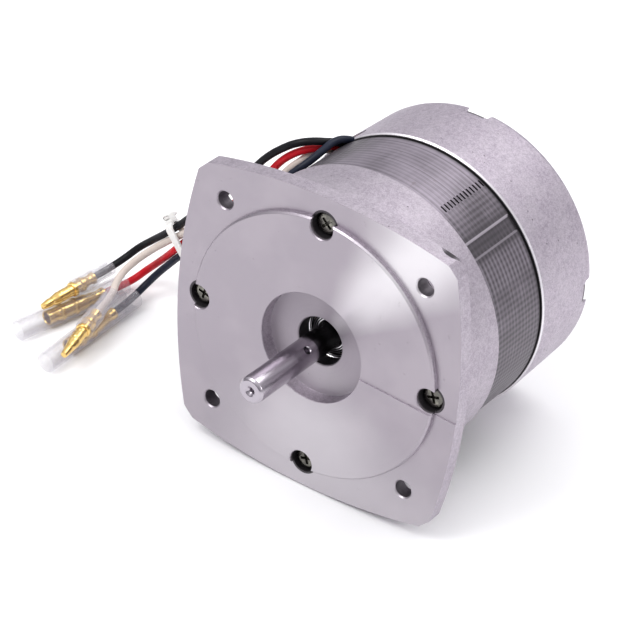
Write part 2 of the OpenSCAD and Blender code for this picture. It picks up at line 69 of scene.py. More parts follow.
TURN = 2 * math.pi
Point = tuple[float, float, float]
Piece = bpy.types.Object
Paint = bpy.types.Material
Profile = Sequence[tuple[float, float]]

log = logging.getLogger("motor")


class Body(Enum):
    """The rigid bodies of the motor that a piece can ride on."""

    MOTOR = "motor_body"
    ROTOR = "rotor"
    FRONT_BALLS = "front_ball_set"
    REAR_BALLS = "rear_ball_set"


# ---------------------------------------------------------------- shader building


class Signal:
    """A node's output socket that takes part in Python arithmetic."""

    def __init__(self, graph: "Graph", socket: bpy.types.NodeSocket) -> None:
        """Keeps the socket and the graph that it belongs to."""
        self.graph = graph
        self.socket = socket

    def _math(self, operation: str, *values: Any) -> "Signal":
        """Adds a Math node on the given values."""
        return self.graph.math(operation, *values)

    def __add__(self, other: Any) -> "Signal":
        """self + other."""
        return self._math("ADD", self, other)

    __radd__ = __add__

    def __sub__(self, other: Any) -> "Signal":
        """self - other."""
        return self._math("SUBTRACT", self, other)

    def __rsub__(self, other: Any) -> "Signal":
        """other - self."""
        return self._math("SUBTRACT", other, self)

    def __mul__(self, other: Any) -> "Signal":
        """self * other."""
        return self._math("MULTIPLY", self, other)

    __rmul__ = __mul__

    def __truediv__(self, other: Any) -> "Signal":
        """self / other."""
        return self._math("DIVIDE", self, other)

    def above(self, limit: Any) -> "Signal":
        """1 where self is greater than the limit, else 0."""
        return self._math("GREATER_THAN", self, limit)

    def below(self, limit: Any) -> "Signal":
        """1 where self is less than the limit, else 0."""
        return self._math("LESS_THAN", self, limit)

    def size(self) -> "Signal":
        """The value without its sign."""
        return self._math("ABSOLUTE", self)

    def wave(self) -> "Signal":
        """The sine of the value."""
        return self._math("SINE", self)

    def at_least(self, other: Any) -> "Signal":
        """The greater of the two values."""
        return self._math("MAXIMUM", self, other)

    def at_most(self, other: Any) -> "Signal":
        """The smaller of the two values."""
        return self._math("MINIMUM", self, other)

    def ramp(self, low: float, high: float) -> "Signal":
        """Rises smoothly from 0 at low to 1 at high, and falls where high is below low."""
        return self.graph.node(
            "ShaderNodeMapRange",
            {"interpolation_type": "SMOOTHSTEP", "clamp": True},
            {"Value": self, "From Min": low, "From Max": high, "To Min": 0.0, "To Max": 1.0},
        )


class Graph:
    """One material's node graph."""

    def __init__(self, name: str) -> None:
        """Starts an empty material of that name."""
        self.material = bpy.data.materials.new(name)
        self.material.use_nodes = True
        self.tree = self.material.node_tree
        self.tree.nodes.clear()

    def node(
        self,
        kind: str,
        settings: dict[str, Any] | None = None,
        inputs: dict[str | int, Any] | None = None,
        out: str | int = 0,
    ) -> Signal:
        """Adds a node, with its settings first and then its sockets.

        Args:
            kind: the node's Blender type.
            settings: its own properties; "stops" fills a colour ramp.
            inputs: values or signals by socket name or number.
            out: the output that is wanted.

        Returns:
            The wanted output as a Signal.
        """
        made = self.tree.nodes.new(kind)
        for key, value in (settings or {}).items():
            if key == "stops":
                self._fill_ramp(made.color_ramp, value)
            else:
                setattr(made, key, value)
        for key, value in (inputs or {}).items():
            self.feed(made.inputs[key], value)
        return Signal(self, made.outputs[out])

    @staticmethod
    def _fill_ramp(ramp: bpy.types.ColorRamp, stops: Sequence[tuple[float, Sequence[float]]]) -> None:
        """Sets a colour ramp's stops from (position, colour) pairs."""
        while len(ramp.elements) < len(stops):
            ramp.elements.new(0.5)
        for element, (position, colour) in zip(ramp.elements, stops):
            element.position = position
            element.color = (*colour, 1.0)

    def feed(self, socket: bpy.types.NodeSocket, value: Any) -> None:
        """Links a signal to a socket, or sets its value."""
        if isinstance(value, Signal):
            self.tree.links.new(value.socket, socket)
        elif isinstance(value, (tuple, list)) and len(value) == 3 and socket.type == "RGBA":
            socket.default_value = (*value, 1.0)
        else:
            socket.default_value = value

    def math(self, operation: str, *values: Any) -> Signal:
        """Adds a Math node."""
        return self.node("ShaderNodeMath", {"operation": operation}, dict(enumerate(values)))

    def length(self, a: Signal, b: Signal) -> Signal:
        """The length of the diagonal of a by b."""
        return self.math("SQRT", a * a + b * b)

    def mix(self, share: Any, first: Any, second: Any) -> Signal:
        """Mixes two colours, with the given share of the second."""
        return self.node("ShaderNodeMix", {"data_type": "RGBA"}, {0: share, 6: first, 7: second}, out=2)

    def place(self) -> Signal:
        """The point on the piece, in millimetres."""
        here = self.node("ShaderNodeTexCoord", out="Object")
        return self.node("ShaderNodeVectorMath", {"operation": "SCALE"}, {0: here, "Scale": 1 / MM})

    def start(self) -> tuple[Signal, Signal, Signal, Signal]:
        """The point on the piece and its three coordinates."""
        place = self.place()
        return (place, *self.axes(place))

    def axes(self, place: Signal) -> tuple[Signal, Signal, Signal]:
        """The three coordinates of a point."""
        parts = self.node("ShaderNodeSeparateXYZ", {}, {0: place})
        outputs = parts.socket.node.outputs
        return tuple(Signal(self, outputs[i]) for i in range(3))

    def facing(self) -> tuple[Signal, Signal, Signal]:
        """The surface's normal in the piece's own axes."""
        return self.axes(self.node("ShaderNodeTexCoord", out="Normal"))

    def noise(self, place: Signal, scale: float, detail: float = 3.0, rough: float = 0.55) -> Signal:
        """Soft noise, with a scale in cells per millimetre."""
        return self.node(
            "ShaderNodeTexNoise",
            {"noise_dimensions": "3D"},
            {"Vector": place, "Scale": scale, "Detail": detail, "Roughness": rough},
        )

    def line_noise(self, along: Signal, scale: float, detail: float = 2.0) -> Signal:
        """Noise that varies along one value only."""
        return self.node(
            "ShaderNodeTexNoise",
            {"noise_dimensions": "1D"},
            {"W": along, "Scale": scale, "Detail": detail},
        )

    def specks(self, place: Signal, scale: float) -> Signal:
        """Distance to the nearest of scattered points, for pits and dirt."""
        return self.node("ShaderNodeTexVoronoi", {"feature": "F1"}, {"Vector": place, "Scale": scale})

    def bump(self, height: Signal, distance_mm: float, strength: float = 1.0, below: Any = None) -> Signal:
        """A normal from a height.

        Args:
            height: the height, about 0 to 1.
            distance_mm: what a height of 1 stands for.
            strength: how strongly it shows.
            below: the normal of a coarser bump under it.

        Returns:
            The normal.
        """
        inputs = {"Strength": strength, "Distance": distance_mm * MM, "Height": height}
        if below is not None:
            inputs["Normal"] = below
        return self.node("ShaderNodeBump", {}, inputs)

    def surface(self, **sockets: Any) -> Paint:
        """Closes the graph with a Principled shader.

        Args:
            sockets: values or signals by the shader's socket names, with _ for a space.

        Returns:
            The finished material.
        """
        inputs = {key.replace("_", " "): value for key, value in sockets.items()}
        shader = self.node("ShaderNodeBsdfPrincipled", {}, inputs)
        end = self.tree.nodes.new("ShaderNodeOutputMaterial")
        self.tree.links.new(shader.socket, end.inputs["Surface"])
        return self.material


# ---------------------------------------------------------------- finishes

Colour = tuple[float, float, float]


@dataclass(frozen=True)
class CastAluminium:
    """Die-cast aluminium with a fine blasted grain; its front faces may be turned bright. It can also carry
    painted shade and painted highlight sectors.
    """

    name: str
    colour: Colour = (0.53, 0.475, 0.54)
    dark: Colour = (0.33, 0.295, 0.34)
    turned_to_y: float = -100.0
    turned_colour: Colour = (0.345, 0.311, 0.348)
    # These fields place painted shade: a band round the casting (start y, end y, inner and outer radius)
    # and its raggedness, the bolt holes along y, the bearing opening's radius and the mounting holes'
    # offset.
    shaded_seam: tuple[float, float, float, float] = (0.0, 0.0, 0.0, 0.0)
    raggedness: float = 0.8
    bolt_holes_to_y: tuple[float, float] = (0.0, 0.0)
    opening: float = 0.0
    screw_hole: float = -100.0
    grain_per_mm: float = 2.6
    groove_pitch: float = 0.22
    bolt_circle: float = 39.0
    # The angle and radius of the painted shadow crescent at a flange corner.
    crescent_rad: float = 0.86
    rim_radius: float = 48.0
    # Angles of the painted highlight sectors and of a painted dull sector.
    highlight_sector_rad: tuple[float, float] = (0.94, -1.45)
    dull_rad: float = 0.36

    def build(self) -> Paint:
        """Makes the material.

        Returns:
            The material, with grain where it is cast, fine rings where it is turned, painted shade in its
            holes and seams and painted highlight sectors on its turned faces.
        """
        g = Graph(self.name)
        place, x, y, z = g.start()
        _, facing_y, _ = g.facing()
        radius = g.length(x, z)
        turned = y.ramp(self.turned_to_y + 0.3, self.turned_to_y - 0.3) * facing_y.size().ramp(0.5, 0.8)

        grain = g.noise(place, self.grain_per_mm, 4.0, 0.7) * 0.6 + g.noise(place, 0.8, 3.0, 0.8) * 0.4
        mottle = g.noise(place, 0.12, 4.0, 0.6)
        pits = g.specks(place, 0.42).ramp(0.16, 0.05)
        rare_pits = pits * g.noise(place, 0.2, 1.0).ramp(0.56, 0.62)
        cast = g.mix(grain.ramp(0.36, 0.64), self.dark, self.colour)
        cast = g.mix(mottle.ramp(0.35, 0.7) * 0.20, cast, (0.66, 0.62, 0.66))
        cast = g.mix(rare_pits * 0.75, cast, (0.10, 0.09, 0.10))

        ring_tone = g.line_noise(radius, 1.4, 4.0)
        handling = g.noise(place, 0.045, 3.0, 0.5)
        turned_tone = g.mix(ring_tone.ramp(0.3, 0.7) * 0.16, self.turned_colour, (0.34, 0.30, 0.35))
        turned_tone = g.mix(handling.ramp(0.42, 0.66) * 0.22, turned_tone, (0.50, 0.45, 0.49))
        # Painted highlight: bright and dull sectors at fixed angles, mixed towards a light tone.
        sheen = self._painted_highlight_sectors(g, g.math("ARCTAN2", z, x), radius)
        turned_tone = g.mix(sheen, turned_tone, (0.75, 0.725, 0.75))
        nicks = g.specks(place, 0.24).ramp(0.06, 0.02) * g.noise(place, 0.15, 1.0).ramp(0.58, 0.62)
        turned_tone = g.mix(nicks * 0.6, turned_tone, (0.24, 0.22, 0.25))
        colour = g.mix(turned, cast, turned_tone)
        # Painted shade: near-black in the holes, the bearing opening, the seams and one flange corner.
        colour = g.mix(self._painted_shade(g, x, y, z, radius) * 0.92, colour, (0.030, 0.027, 0.030))

        rings = (radius * (TURN / self.groove_pitch)).wave() * 0.5 + g.line_noise(radius, 5.0, 2.0) * 0.6
        cast_rough = grain * 0.16 + 0.46
        turned_rough = ring_tone * 0.05 + handling * 0.10 + 0.24 + radius.below(16.9) * y.above(0.0) * 0.22
        cast_height = grain * (1 - turned)
        normal = g.bump(cast_height, 0.16, 0.85)
        normal = g.bump(rings * turned, 0.008, 1.0, below=normal)
        normal = g.bump(1 - rare_pits, 0.12, 0.6, below=normal)
        return g.surface(
            Base_Color=colour,
            Metallic=0.92 - turned * 0.04,
            Roughness=cast_rough * (1 - turned) + turned_rough * turned,
            Normal=normal,
        )

    def _painted_shade(self, g: Graph, x: Signal, y: Signal, z: Signal, radius: Signal) -> Signal:
        """Painted shade: near-black in the bolt holes, the mounting holes and the bearing opening, in a
        seam round the casting and in a crescent at one flange corner.

        Args:
            g: the graph.
            x: the place across.
            y: the place along the shaft.
            z: the place upwards.
            radius: the distance from the shaft's axis.

        Returns:
            How much painted shade the place gets, from 0 to 1.
        """
        place = g.place()
        _, facing_y, _ = g.facing()
        # Painted shadow: a dark crescent along the back edge of one flange corner, where it overhangs the
        # drum.
        corner = (g.math("ARCTAN2", z, x) - self.crescent_rad).size().ramp(0.075, 0.01)
        corner = corner * radius.above(self.rim_radius)
        corner = corner * facing_y.below(0.8)
        # Painted shade in the bolt holes and on the spot-face floors.
        near = x.size().at_least(z.size()) - self.bolt_circle
        aside = x.size().at_most(z.size())
        off_axis = g.length(near, aside)
        first, last = self.bolt_holes_to_y
        holes = off_axis.below(4.4) * y.ramp(first, first + 1.2) * y.below(last)
        # Painted shade in a ragged band along the seam round the casting.
        start, end, inner, outer = self.shaded_seam
        ragged = (g.noise(place, 0.16, 4.0, 0.6) * 2 - 1) * self.raggedness
        seam = (y + ragged * 0.3 + corner * 1.7).above(start) * (y + ragged).below(end)
        on_part = (corner + radius.below(self.rim_radius)).at_most(1.0)
        seam = seam * radius.below(outer) * radius.above(inner) * on_part
        # Painted shade in the bearing opening and in the mounting holes.
        mouth = radius.below(self.opening) * y.ramp(2.9, 3.5)
        across, up = x.size() - self.screw_hole, z.size() - self.screw_hole
        screws = g.length(across, up).ramp(2.95, 2.6) * y.ramp(0.1, 0.6) * 0.8
        return holes.at_least(seam).at_least(mouth).at_least(screws)

    def _painted_highlight_sectors(self, g: Graph, angle: Signal, radius: Signal) -> Signal:
        """Painted highlight and painted dull sectors at fixed angles round the shaft, standing in for the
        lustre of the turned face.

        Args:
            g: the graph.
            angle: the place's angle round the shaft.
            radius: the distance from the shaft's axis.

        Returns:
            How much painted highlight the place gets, from 0 to 1.
        """
        drift = g.noise(g.place(), 0.03, 2.0) * 0.3 - 0.15
        upper_at, lower_at = self.highlight_sector_rad
        painted_light_upper = (angle + drift - upper_at).size().ramp(0.42, 0.02)
        lower = (angle + drift - lower_at).size().ramp(1.15, 0.10)
        dull = (angle + drift - self.dull_rad).size().ramp(0.26, 0.02)
        fade = radius.ramp(12.0, 26.0) * 0.5 + 0.5
        return (painted_light_upper * 0.95 + lower * 0.48 - dull * 0.25).at_least(0.0) * fade


@dataclass(frozen=True)
class Laminations:
    """A stack of dark steel sheets seen on its ground edge."""

    name: str
    colour: Colour = (0.085, 0.076, 0.086)
    light: Colour = (0.40, 0.355, 0.415)
    cleat_rad: float = 1.117
    streak_rad: float = 0.60
    # Where the painted highlight bars lie on the flats.
    bar_places: tuple[float, float] = (3.4, -3.6)
    sheet_mm: float = 0.83

    def build(self) -> Paint:
        """Makes the material.

        Returns:
            The material, striped across the stack with each sheet a little different, with painted light
            near its top, painted shade in its cleats and at its back edge, and painted highlight bars on
            its flats.
        """
        g = Graph(self.name)
        place, x, y, z = g.start()
        angle = g.math("ARCTAN2", z, x)
        seam = (y * (TURN / self.sheet_mm)).wave()
        group = (y * (TURN / (2 * self.sheet_mm))).wave()
        tone = g.line_noise(y, 1.9, 3.0)
        patch = g.noise(place, 0.09, 3.0, 0.55)
        smear = g.noise(g.node("ShaderNodeCombineXYZ", {}, {0: angle * 9.0, 1: y * 0.05, 2: 0.0}), 1.0, 3.0)
        # Painted light: the stack is a little lighter above its middle and much lighter near its top, as if
        # lit from above.
        painted_light_upper = z.ramp(-6.0, 8.0) * 0.12 + z.ramp(35.0, 41.0) * 0.75
        share = tone * 0.30 + group * 0.05 + patch * 0.35 + smear * 0.25 + painted_light_upper * 0.38
        colour = g.mix(share.ramp(0.40, 1.05), self.colour, self.light)
        streaks = (angle - self.streak_rad).size().ramp(0.19, 0.08)
        colour = g.mix((group * 0.5 + 0.5) * streaks * 0.45, colour, (0.40, 0.36, 0.41))
        ribs = (angle * 150.0).wave() * 0.5 + 0.5
        colour = g.mix(ribs * (1 - painted_light_upper) * 0.22, colour, self.light)
        # Painted shade: the cleat slots are near-black inside.
        shaded_cleats = g.length(x, z).below(42.1) * (angle - self.cleat_rad).size().below(0.05)
        colour = g.mix(shaded_cleats * 0.9, colour, (0.015, 0.014, 0.016))
        rust = g.noise(place, 0.35, 4.0, 0.65).ramp(0.62, 0.74)
        colour = g.mix(rust * 0.30, colour, (0.12, 0.085, 0.075))
        # The four flats are painted darker and carry painted highlight bars.
        corner = x.size() * z.size() * 2 / (x * x + z * z)
        leans = z.size() - x.size()
        flat = corner.ramp(0.972, 0.984)
        bright_at, dull_at = self.bar_places
        highlight_bar = (leans - bright_at).size().ramp(0.75, 0.35)
        faint_highlight_bar = (leans - dull_at).size().ramp(0.60, 0.25) * 0.6
        colour = g.mix(flat * 0.55, colour, (0.075, 0.068, 0.076))
        colour = g.mix(highlight_bar.at_least(faint_highlight_bar) * flat * 0.9, colour, (0.48, 0.44, 0.49))
        # Painted shade: near-black at the stack's back edge, in the gap to the rear bracket.
        edge = y.ramp(49.3, 49.9)
        colour = g.mix(edge * 0.85, colour, (0.03, 0.027, 0.03))
        normal = g.bump(seam * 0.3 + group * 0.15 + tone, 0.022, 0.8)
        return g.surface(
            Base_Color=colour,
            Metallic=0.85,
            Roughness=0.36 + patch * 0.2 - group * 0.04,
            Normal=normal,
        )


@dataclass(frozen=True)
class Metal:
    """Plain machined or pressed metal, with turning rings or a drawn grain."""

    name: str
    colour: Colour
    roughness: float
    worn: Colour
    ring_pitch: float = 0.18
    ring_depth: float = 0.004
    stain: float = 0.25
    metallic: float = 1.0
    lumps: float = 0.003
    # Where a painted dark reflection starts along y.
    dark_reflection_from: float = 1000.0
    # The pitch of painted reflection rings, or 0 for none.
    reflection_rings: float = 0.0

    def build(self) -> Paint:
        """Makes the material.

        Returns:
            The material, with fine rings round Y, stains, painted reflection rings where asked and, on the
            shaft, a painted dark reflection on the neck.
        """
        g = Graph(self.name)
        place, x, y, z = g.start()
        rings = (y * (TURN / self.ring_pitch)).wave() + g.line_noise(y, 6.0, 3.0) * 2.0
        stain = g.noise(place, 0.35, 4.0, 0.6)
        fine = g.noise(place, 3.0, 3.0, 0.6)
        colour = g.mix(stain.ramp(0.45, 0.75) * self.stain, self.colour, self.worn)
        colour = g.mix(fine.ramp(0.4, 0.7) * 0.12, colour, self.worn)
        # Painted reflection: near-black from a place along the shaft onwards, where the shaft mirrors the
        # dark opening.
        dark_reflection = (y + stain * 0.5).ramp(self.dark_reflection_from, self.dark_reflection_from + 0.9)
        colour = g.mix(dark_reflection * 0.9, colour, (0.035, 0.032, 0.036))
        # Painted reflection: faces that look along the shaft are near-black between bright rings.
        if self.reflection_rings:
            radius = g.length(x, z)
            bright = (radius * (TURN / self.reflection_rings)).wave().ramp(0.35, 0.75)
            _, facing_y, _ = g.facing()
            colour = g.mix((1 - bright) * facing_y.size().ramp(0.5, 0.8), colour, (0.012, 0.011, 0.012))
        normal = g.bump(rings * 0.5, self.ring_depth, 1.0)
        normal = g.bump(fine, self.lumps, 0.5, below=normal)
        return g.surface(
            Base_Color=colour,
            Metallic=self.metallic,
            Roughness=stain * 0.14 + fine * 0.06 + (self.roughness - 0.08),
            Normal=normal,
        )


@dataclass(frozen=True)
class Polymer:
    """Moulded or extruded plastic and rubber."""

    name: str
    colour: Colour
    shade: Colour
    roughness: float = 0.38
    coat: float = 0.0
    subsurface: float = 0.0
    grain_mm: float = 0.02
    dust: float = 0.10
    gloss: float = 0.5

    def build(self) -> Paint:
        """Makes the material.

        Returns:
            The material, with faint handling marks and an uneven skin.
        """
        g = Graph(self.name)
        place = g.place()
        cloud = g.noise(place, 0.22, 3.0, 0.5)
        skin = g.noise(place, 1.6, 4.0, 0.6)
        dust = g.noise(place, 4.0, 2.0, 0.7).ramp(0.62, 0.80)
        colour = g.mix(cloud.ramp(0.35, 0.7) * 0.6, self.colour, self.shade)
        colour = g.mix(dust * self.dust, colour, (0.62, 0.60, 0.60))
        normal = g.bump(skin, self.grain_mm, 0.7)
        return g.surface(
            Base_Color=colour,
            Roughness=skin * 0.14 + cloud * 0.08 + (self.roughness - 0.10),
            Coat_Weight=self.coat,
            Subsurface_Weight=self.subsurface,
            Subsurface_Radius=(0.002, 0.0018, 0.0016),
            Specular_IOR_Level=self.gloss,
            Normal=normal,
        )


@dataclass(frozen=True)
class ClearVinyl:
    """Soft clear vinyl, slightly milky, thicker-looking at its rims and edges."""

    name: str
    colour: Colour = (0.58, 0.55, 0.60)
    body: float = 0.11
    edge: float = 0.42

    def build(self) -> Paint:
        """Makes the material.

        Returns:
            The material; its alpha rises towards the silhouette, as a clear tube's does.
        """
        g = Graph(self.name)
        place = g.place()
        haze = g.noise(place, 0.30, 3.0, 0.6)
        ripple = g.noise(place, 0.9, 2.0, 0.5)
        edge = g.node("ShaderNodeLayerWeight", {}, {"Blend": 0.35}, out="Facing")
        alpha = edge * self.edge + haze * 0.16 + self.body - 0.08
        normal = g.bump(ripple, 0.06, 0.6)
        return g.surface(
            Base_Color=g.mix(haze.ramp(0.4, 0.75) * 0.4, self.colour, (0.80, 0.78, 0.82)),
            Roughness=0.10 + haze * 0.12,
            Alpha=alpha.at_most(1.0),
            Coat_Weight=0.4,
            IOR=1.5,
            Normal=normal,
        )


@dataclass(frozen=True)
class Copper:
    """Enamelled magnet wire, laid side by side round the bore."""

    name: str
    colour: Colour = (0.52, 0.19, 0.07)
    light: Colour = (0.82, 0.40, 0.16)

    def build(self) -> Paint:
        """Makes the material.

        Returns:
            The material, ribbed like packed wire under a coat of varnish.
        """
        g = Graph(self.name)
        place, x, y, z = g.start()
        radius = g.length(x, z)
        wobble = g.noise(place, 0.12, 3.0, 0.5)
        strands = (radius * 6.5 + y * 3.2 + wobble * 9.0).wave()
        varnish = g.noise(place, 0.25, 4.0, 0.6)
        colour = g.mix(strands * 0.35 + varnish * 0.6, self.colour, self.light)
        normal = g.bump(strands * 0.5 + 0.5, 0.30, 0.8)
        return g.surface(
            Base_Color=colour,
            Metallic=0.55,
            Roughness=0.22 + varnish * 0.18,
            Coat_Weight=0.5,
            Normal=normal,
        )


@dataclass(frozen=True)
class Fibre:
    """Insulating paper, pressed board or woven cord."""

    name: str
    colour: Colour
    shade: Colour
    thread_mm: float = 0.35

    def build(self) -> Paint:
        """Makes the material.

        Returns:
            The material, matt, with a fine crossed weave.
        """
        g = Graph(self.name)
        place, x, y, z = g.start()
        weave = (y * (TURN / self.thread_mm)).wave() * ((x + z) * (TURN / self.thread_mm)).wave()
        felt = g.noise(place, 1.2, 4.0, 0.7)
        colour = g.mix(felt.ramp(0.3, 0.7), self.colour, self.shade)
        normal = g.bump(weave * 0.4 + felt, 0.05, 0.7)
        return g.surface(Base_Color=colour, Roughness=0.72 + felt * 0.15, Normal=normal)


# ---------------------------------------------------------------- modelling


@dataclass
class Bench:
    """Where one piece at a time is modelled with Blender's own operators, in millimetres."""

    steps: int = 160
    smooth_deg: float = 32.0

    def clear(self) -> None:
        """Leaves nothing selected, in object mode."""
        if bpy.context.mode != "OBJECT":
            bpy.ops.object.mode_set(mode="OBJECT")
        bpy.ops.object.select_all(action="DESELECT")

    def pick(self, piece: Piece) -> None:
        """Makes a piece the only one selected, and the active one."""
        self.clear()
        piece.select_set(True)
        bpy.context.view_layer.objects.active = piece

    def settle(self, piece: Piece) -> None:
        """Moves a piece's place, turn and scale into its mesh."""
        self.pick(piece)
        bpy.ops.object.transform_apply(location=True, rotation=True, scale=True)

    def put(self, piece: Piece, matrix: Matrix) -> None:
        """Places a finished piece by a matrix, in its mesh."""
        piece.matrix_world = matrix @ piece.matrix_world
        self.settle(piece)

    @staticmethod
    @contextmanager
    def editing() -> Iterator[None]:
        """Edit mode on the active piece, with all of it selected, and object mode afterwards."""
        bpy.ops.object.mode_set(mode="EDIT")
        bpy.ops.mesh.select_all(action="SELECT")
        yield
        bpy.ops.object.mode_set(mode="OBJECT")

    def outward(self, piece: Piece) -> None:
        """Merges doubled points and turns every face outwards."""
        self.pick(piece)
        with self.editing():
            bpy.ops.mesh.remove_doubles(threshold=0.002 * MM)
            bpy.ops.mesh.normals_make_consistent(inside=False)

    def smooth(self, piece: Piece, degrees: float | None = None) -> None:
        """Shades a piece smooth, but for edges sharper than the given angle."""
        self.pick(piece)
        bpy.ops.object.shade_smooth_by_angle(angle=math.radians(degrees or self.smooth_deg))

    def modify(self, piece: Piece, kind: str, **settings: Any) -> None:
        """Applies a modifier of that kind, with its own settings, to a piece."""
        self.pick(piece)
        modifier = piece.modifiers.new(kind.lower(), kind)
        for key, value in settings.items():
            setattr(modifier, key, value)
        bpy.ops.object.modifier_apply(modifier=modifier.name)

    def even_shading(self, piece: Piece) -> None:
        """Lets large flat faces keep their own direction where small ones round their edges."""
        self.modify(piece, "WEIGHTED_NORMAL", keep_sharp=True, weight=90)

    def turn(self, name: str, profile: Profile, steps: int | None = None) -> Piece:
        """Turns a profile round the Y axis, ring by ring, as on a lathe.

        Args:
            name: the piece's name.
            profile: (radius, y) points in order. A profile that starts and ends on the axis is
                closed there; any other is closed from its last point to its first.
            steps: how many points each ring has.

        Returns:
            The closed solid, with its faces outwards.
        """
        rings = [p for p in profile if p[0] > 0]
        starts_on_axis = profile[0][0] == 0
        ends_on_axis = profile[-1][0] == 0
        self.clear()
        radius, y = rings[0]
        bpy.ops.mesh.primitive_circle_add(
            vertices=steps or self.steps,
            radius=radius * MM,
            location=(0, y * MM, 0),
            rotation=(math.pi / 2, 0, 0),
            fill_type="NOTHING",
        )
        piece = bpy.context.object
        piece.name = name
        self.settle(piece)
        with self.editing():
            for (old_r, old_y), (new_r, new_y) in pairwise(rings):
                self._draw(new_r / old_r, old_y, new_y)
            if ends_on_axis:
                self._point(rings[-1][1], profile[-1][1])
            if starts_on_axis:
                self._select_open_edges()
                self._point(rings[0][1], profile[0][1])
            if not (starts_on_axis or ends_on_axis):
                self._select_open_edges()
                bpy.ops.mesh.bridge_edge_loops()
        self.outward(piece)
        self.smooth(piece)
        return piece

    @staticmethod
    def _draw(scale: float, from_y: float, to_y: float) -> None:
        """Extrudes the selected ring along Y and scales it about the axis."""
        bpy.ops.mesh.extrude_region_move(TRANSFORM_OT_translate={"value": (0, (to_y - from_y) * MM, 0)})
        if abs(scale - 1) > 1e-9:
            bpy.ops.transform.resize(value=(scale, 1, scale), center_override=(0, to_y * MM, 0))

    @staticmethod
    def _point(from_y: float, to_y: float) -> None:
        """Extrudes the selected ring along Y and draws it together on the axis."""
        bpy.ops.mesh.extrude_region_move(TRANSFORM_OT_translate={"value": (0, (to_y - from_y) * MM, 0)})
        bpy.ops.mesh.merge(type="CENTER")

    @staticmethod
    def _select_open_edges() -> None:
        """Selects the rings that have no face on one side."""
        bpy.ops.mesh.select_mode(type="EDGE")
        bpy.ops.mesh.select_all(action="DESELECT")
        bpy.ops.mesh.select_non_manifold(extend=False)

    def rod(self, name: str, radius: float, y0: float, y1: float, steps: int | None = None) -> Piece:
        """A plain cylinder along Y, as a cutting tool or a blank."""
        return self.turn(name, [(0, y0), (radius, y0), (radius, y1), (0, y1)], steps)

    def block(
        self, name: str, centre: Point, size: Point, bevel: float = 0.0, segments: int = 3
    ) -> Piece:
        """A rectangular block with rounded edges.

        Args:
            name: the piece's name.
            centre: its middle.
            size: its size along each axis.
            bevel: the radius of its edges, or 0 for sharp ones.
            segments: how many faces round each edge.

        Returns:
            The block.
        """
        self.clear()
        bpy.ops.mesh.primitive_cube_add(size=1, location=Vector(centre) * MM, scale=Vector(size) * MM)
        piece = bpy.context.object
        piece.name = name
        self.settle(piece)
        if bevel:
            with self.editing():
                bpy.ops.mesh.bevel(offset=bevel * MM, segments=segments, affect="EDGES")
        self.smooth(piece)
        return piece

    def combine(
        self, piece: Piece, tools: Iterable[Piece], operation: str = "DIFFERENCE"
    ) -> None:
        """Cuts tools out of a piece, or joins them to it, and throws the tools away.

        Args:
            piece: the piece that stays.
            tools: closed solids.
            operation: DIFFERENCE, UNION or INTERSECT.
        """
        for tool in tools:
            self.modify(piece, "BOOLEAN", operation=operation, solver="MANIFOLD", object=tool)
            bpy.data.objects.remove(tool)

    def copies(self, piece: Piece, matrices: Sequence[Matrix]) -> list[Piece]:
        """Copies of a piece, each with its own mesh, placed by matrices; the first is the piece itself."""
        made = [piece]
        for _ in matrices[1:]:
            made.append(show(piece.copy()))
            made[-1].data = piece.data.copy()
        for one, matrix in zip(made, matrices):
            self.put(one, matrix)
        return made

    def ring(self, piece: Piece, radius: float, angles: Sequence[float] = SIDES) -> list[Piece]:
        """Copies of a piece at a radius, one at each angle round the shaft."""
        return self.copies(piece, [at_polar(radius, a) for a in angles])

    def join(self, pieces: Sequence[Piece], name: str) -> Piece:
        """Joins pieces into one object that keeps them as separate shells."""
        self.clear()
        for piece in pieces:
            piece.select_set(True)
        bpy.context.view_layer.objects.active = pieces[0]
        if len(pieces) > 1:
            bpy.ops.object.join()
        joined = bpy.context.object
        joined.name = name
        return joined

    def round_edges(
        self, piece: Piece, width: float, limit_deg: float = 40.0, segments: int = 2
    ) -> None:
        """Rounds every edge sharper than a limit.

        Args:
            piece: the piece.
            width: how far from the edge the rounding starts.
            limit_deg: the sharpest angle that stays as it is.
            segments: how many faces round each edge.
        """
        limit = math.radians(limit_deg)
        self.modify(
            piece, "BEVEL", limit_method="ANGLE", angle_limit=limit, width=width * MM, segments=segments
        )
        self.smooth(piece)

    def blank_from(self, node: str, name: str) -> Piece:
        """A merged copy of a CAD node's shape, to be worked on as a new piece."""
        piece = frame["nodes"][node].copy()
        piece.data = frame["nodes"][node].data.copy()
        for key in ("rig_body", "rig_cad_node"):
            del piece[key]
        piece.parent = None
        piece.name = name
        show(piece)
        self.pick(piece)
        if piece.data.has_custom_normals:
            bpy.ops.mesh.customdata_custom_splitnormals_clear()
        self.outward(piece)
        self.smooth(piece)
        return piece


def show(piece: Piece) -> Piece:
    """Puts a new object into the scene, and returns it."""
    bpy.context.scene.collection.objects.link(piece)
    return piece


def spin_about_shaft(degrees: float) -> Matrix:
    """The turn about the shaft's axis that takes +X towards +Z by an angle."""
    return Matrix.Rotation(math.radians(-degrees), 4, "Y")


def at_polar(radius: float, degrees: float, y: float = 0.0) -> Matrix:
    """The place at a radius and angle round the shaft, in millimetres."""
    return spin_about_shaft(degrees) @ Matrix.Translation(Vector((radius, y, 0)) * MM)


def lying(start: Point, end: Point) -> Matrix:
    """The matrix that lays a piece made along +Y from a start towards an end."""
    direction = (Vector(end) - Vector(start)).normalized()
    turn = Vector((0, 1, 0)).rotation_difference(direction).to_matrix().to_4x4()
    return Matrix.Translation(Vector(start) * MM) @ turn


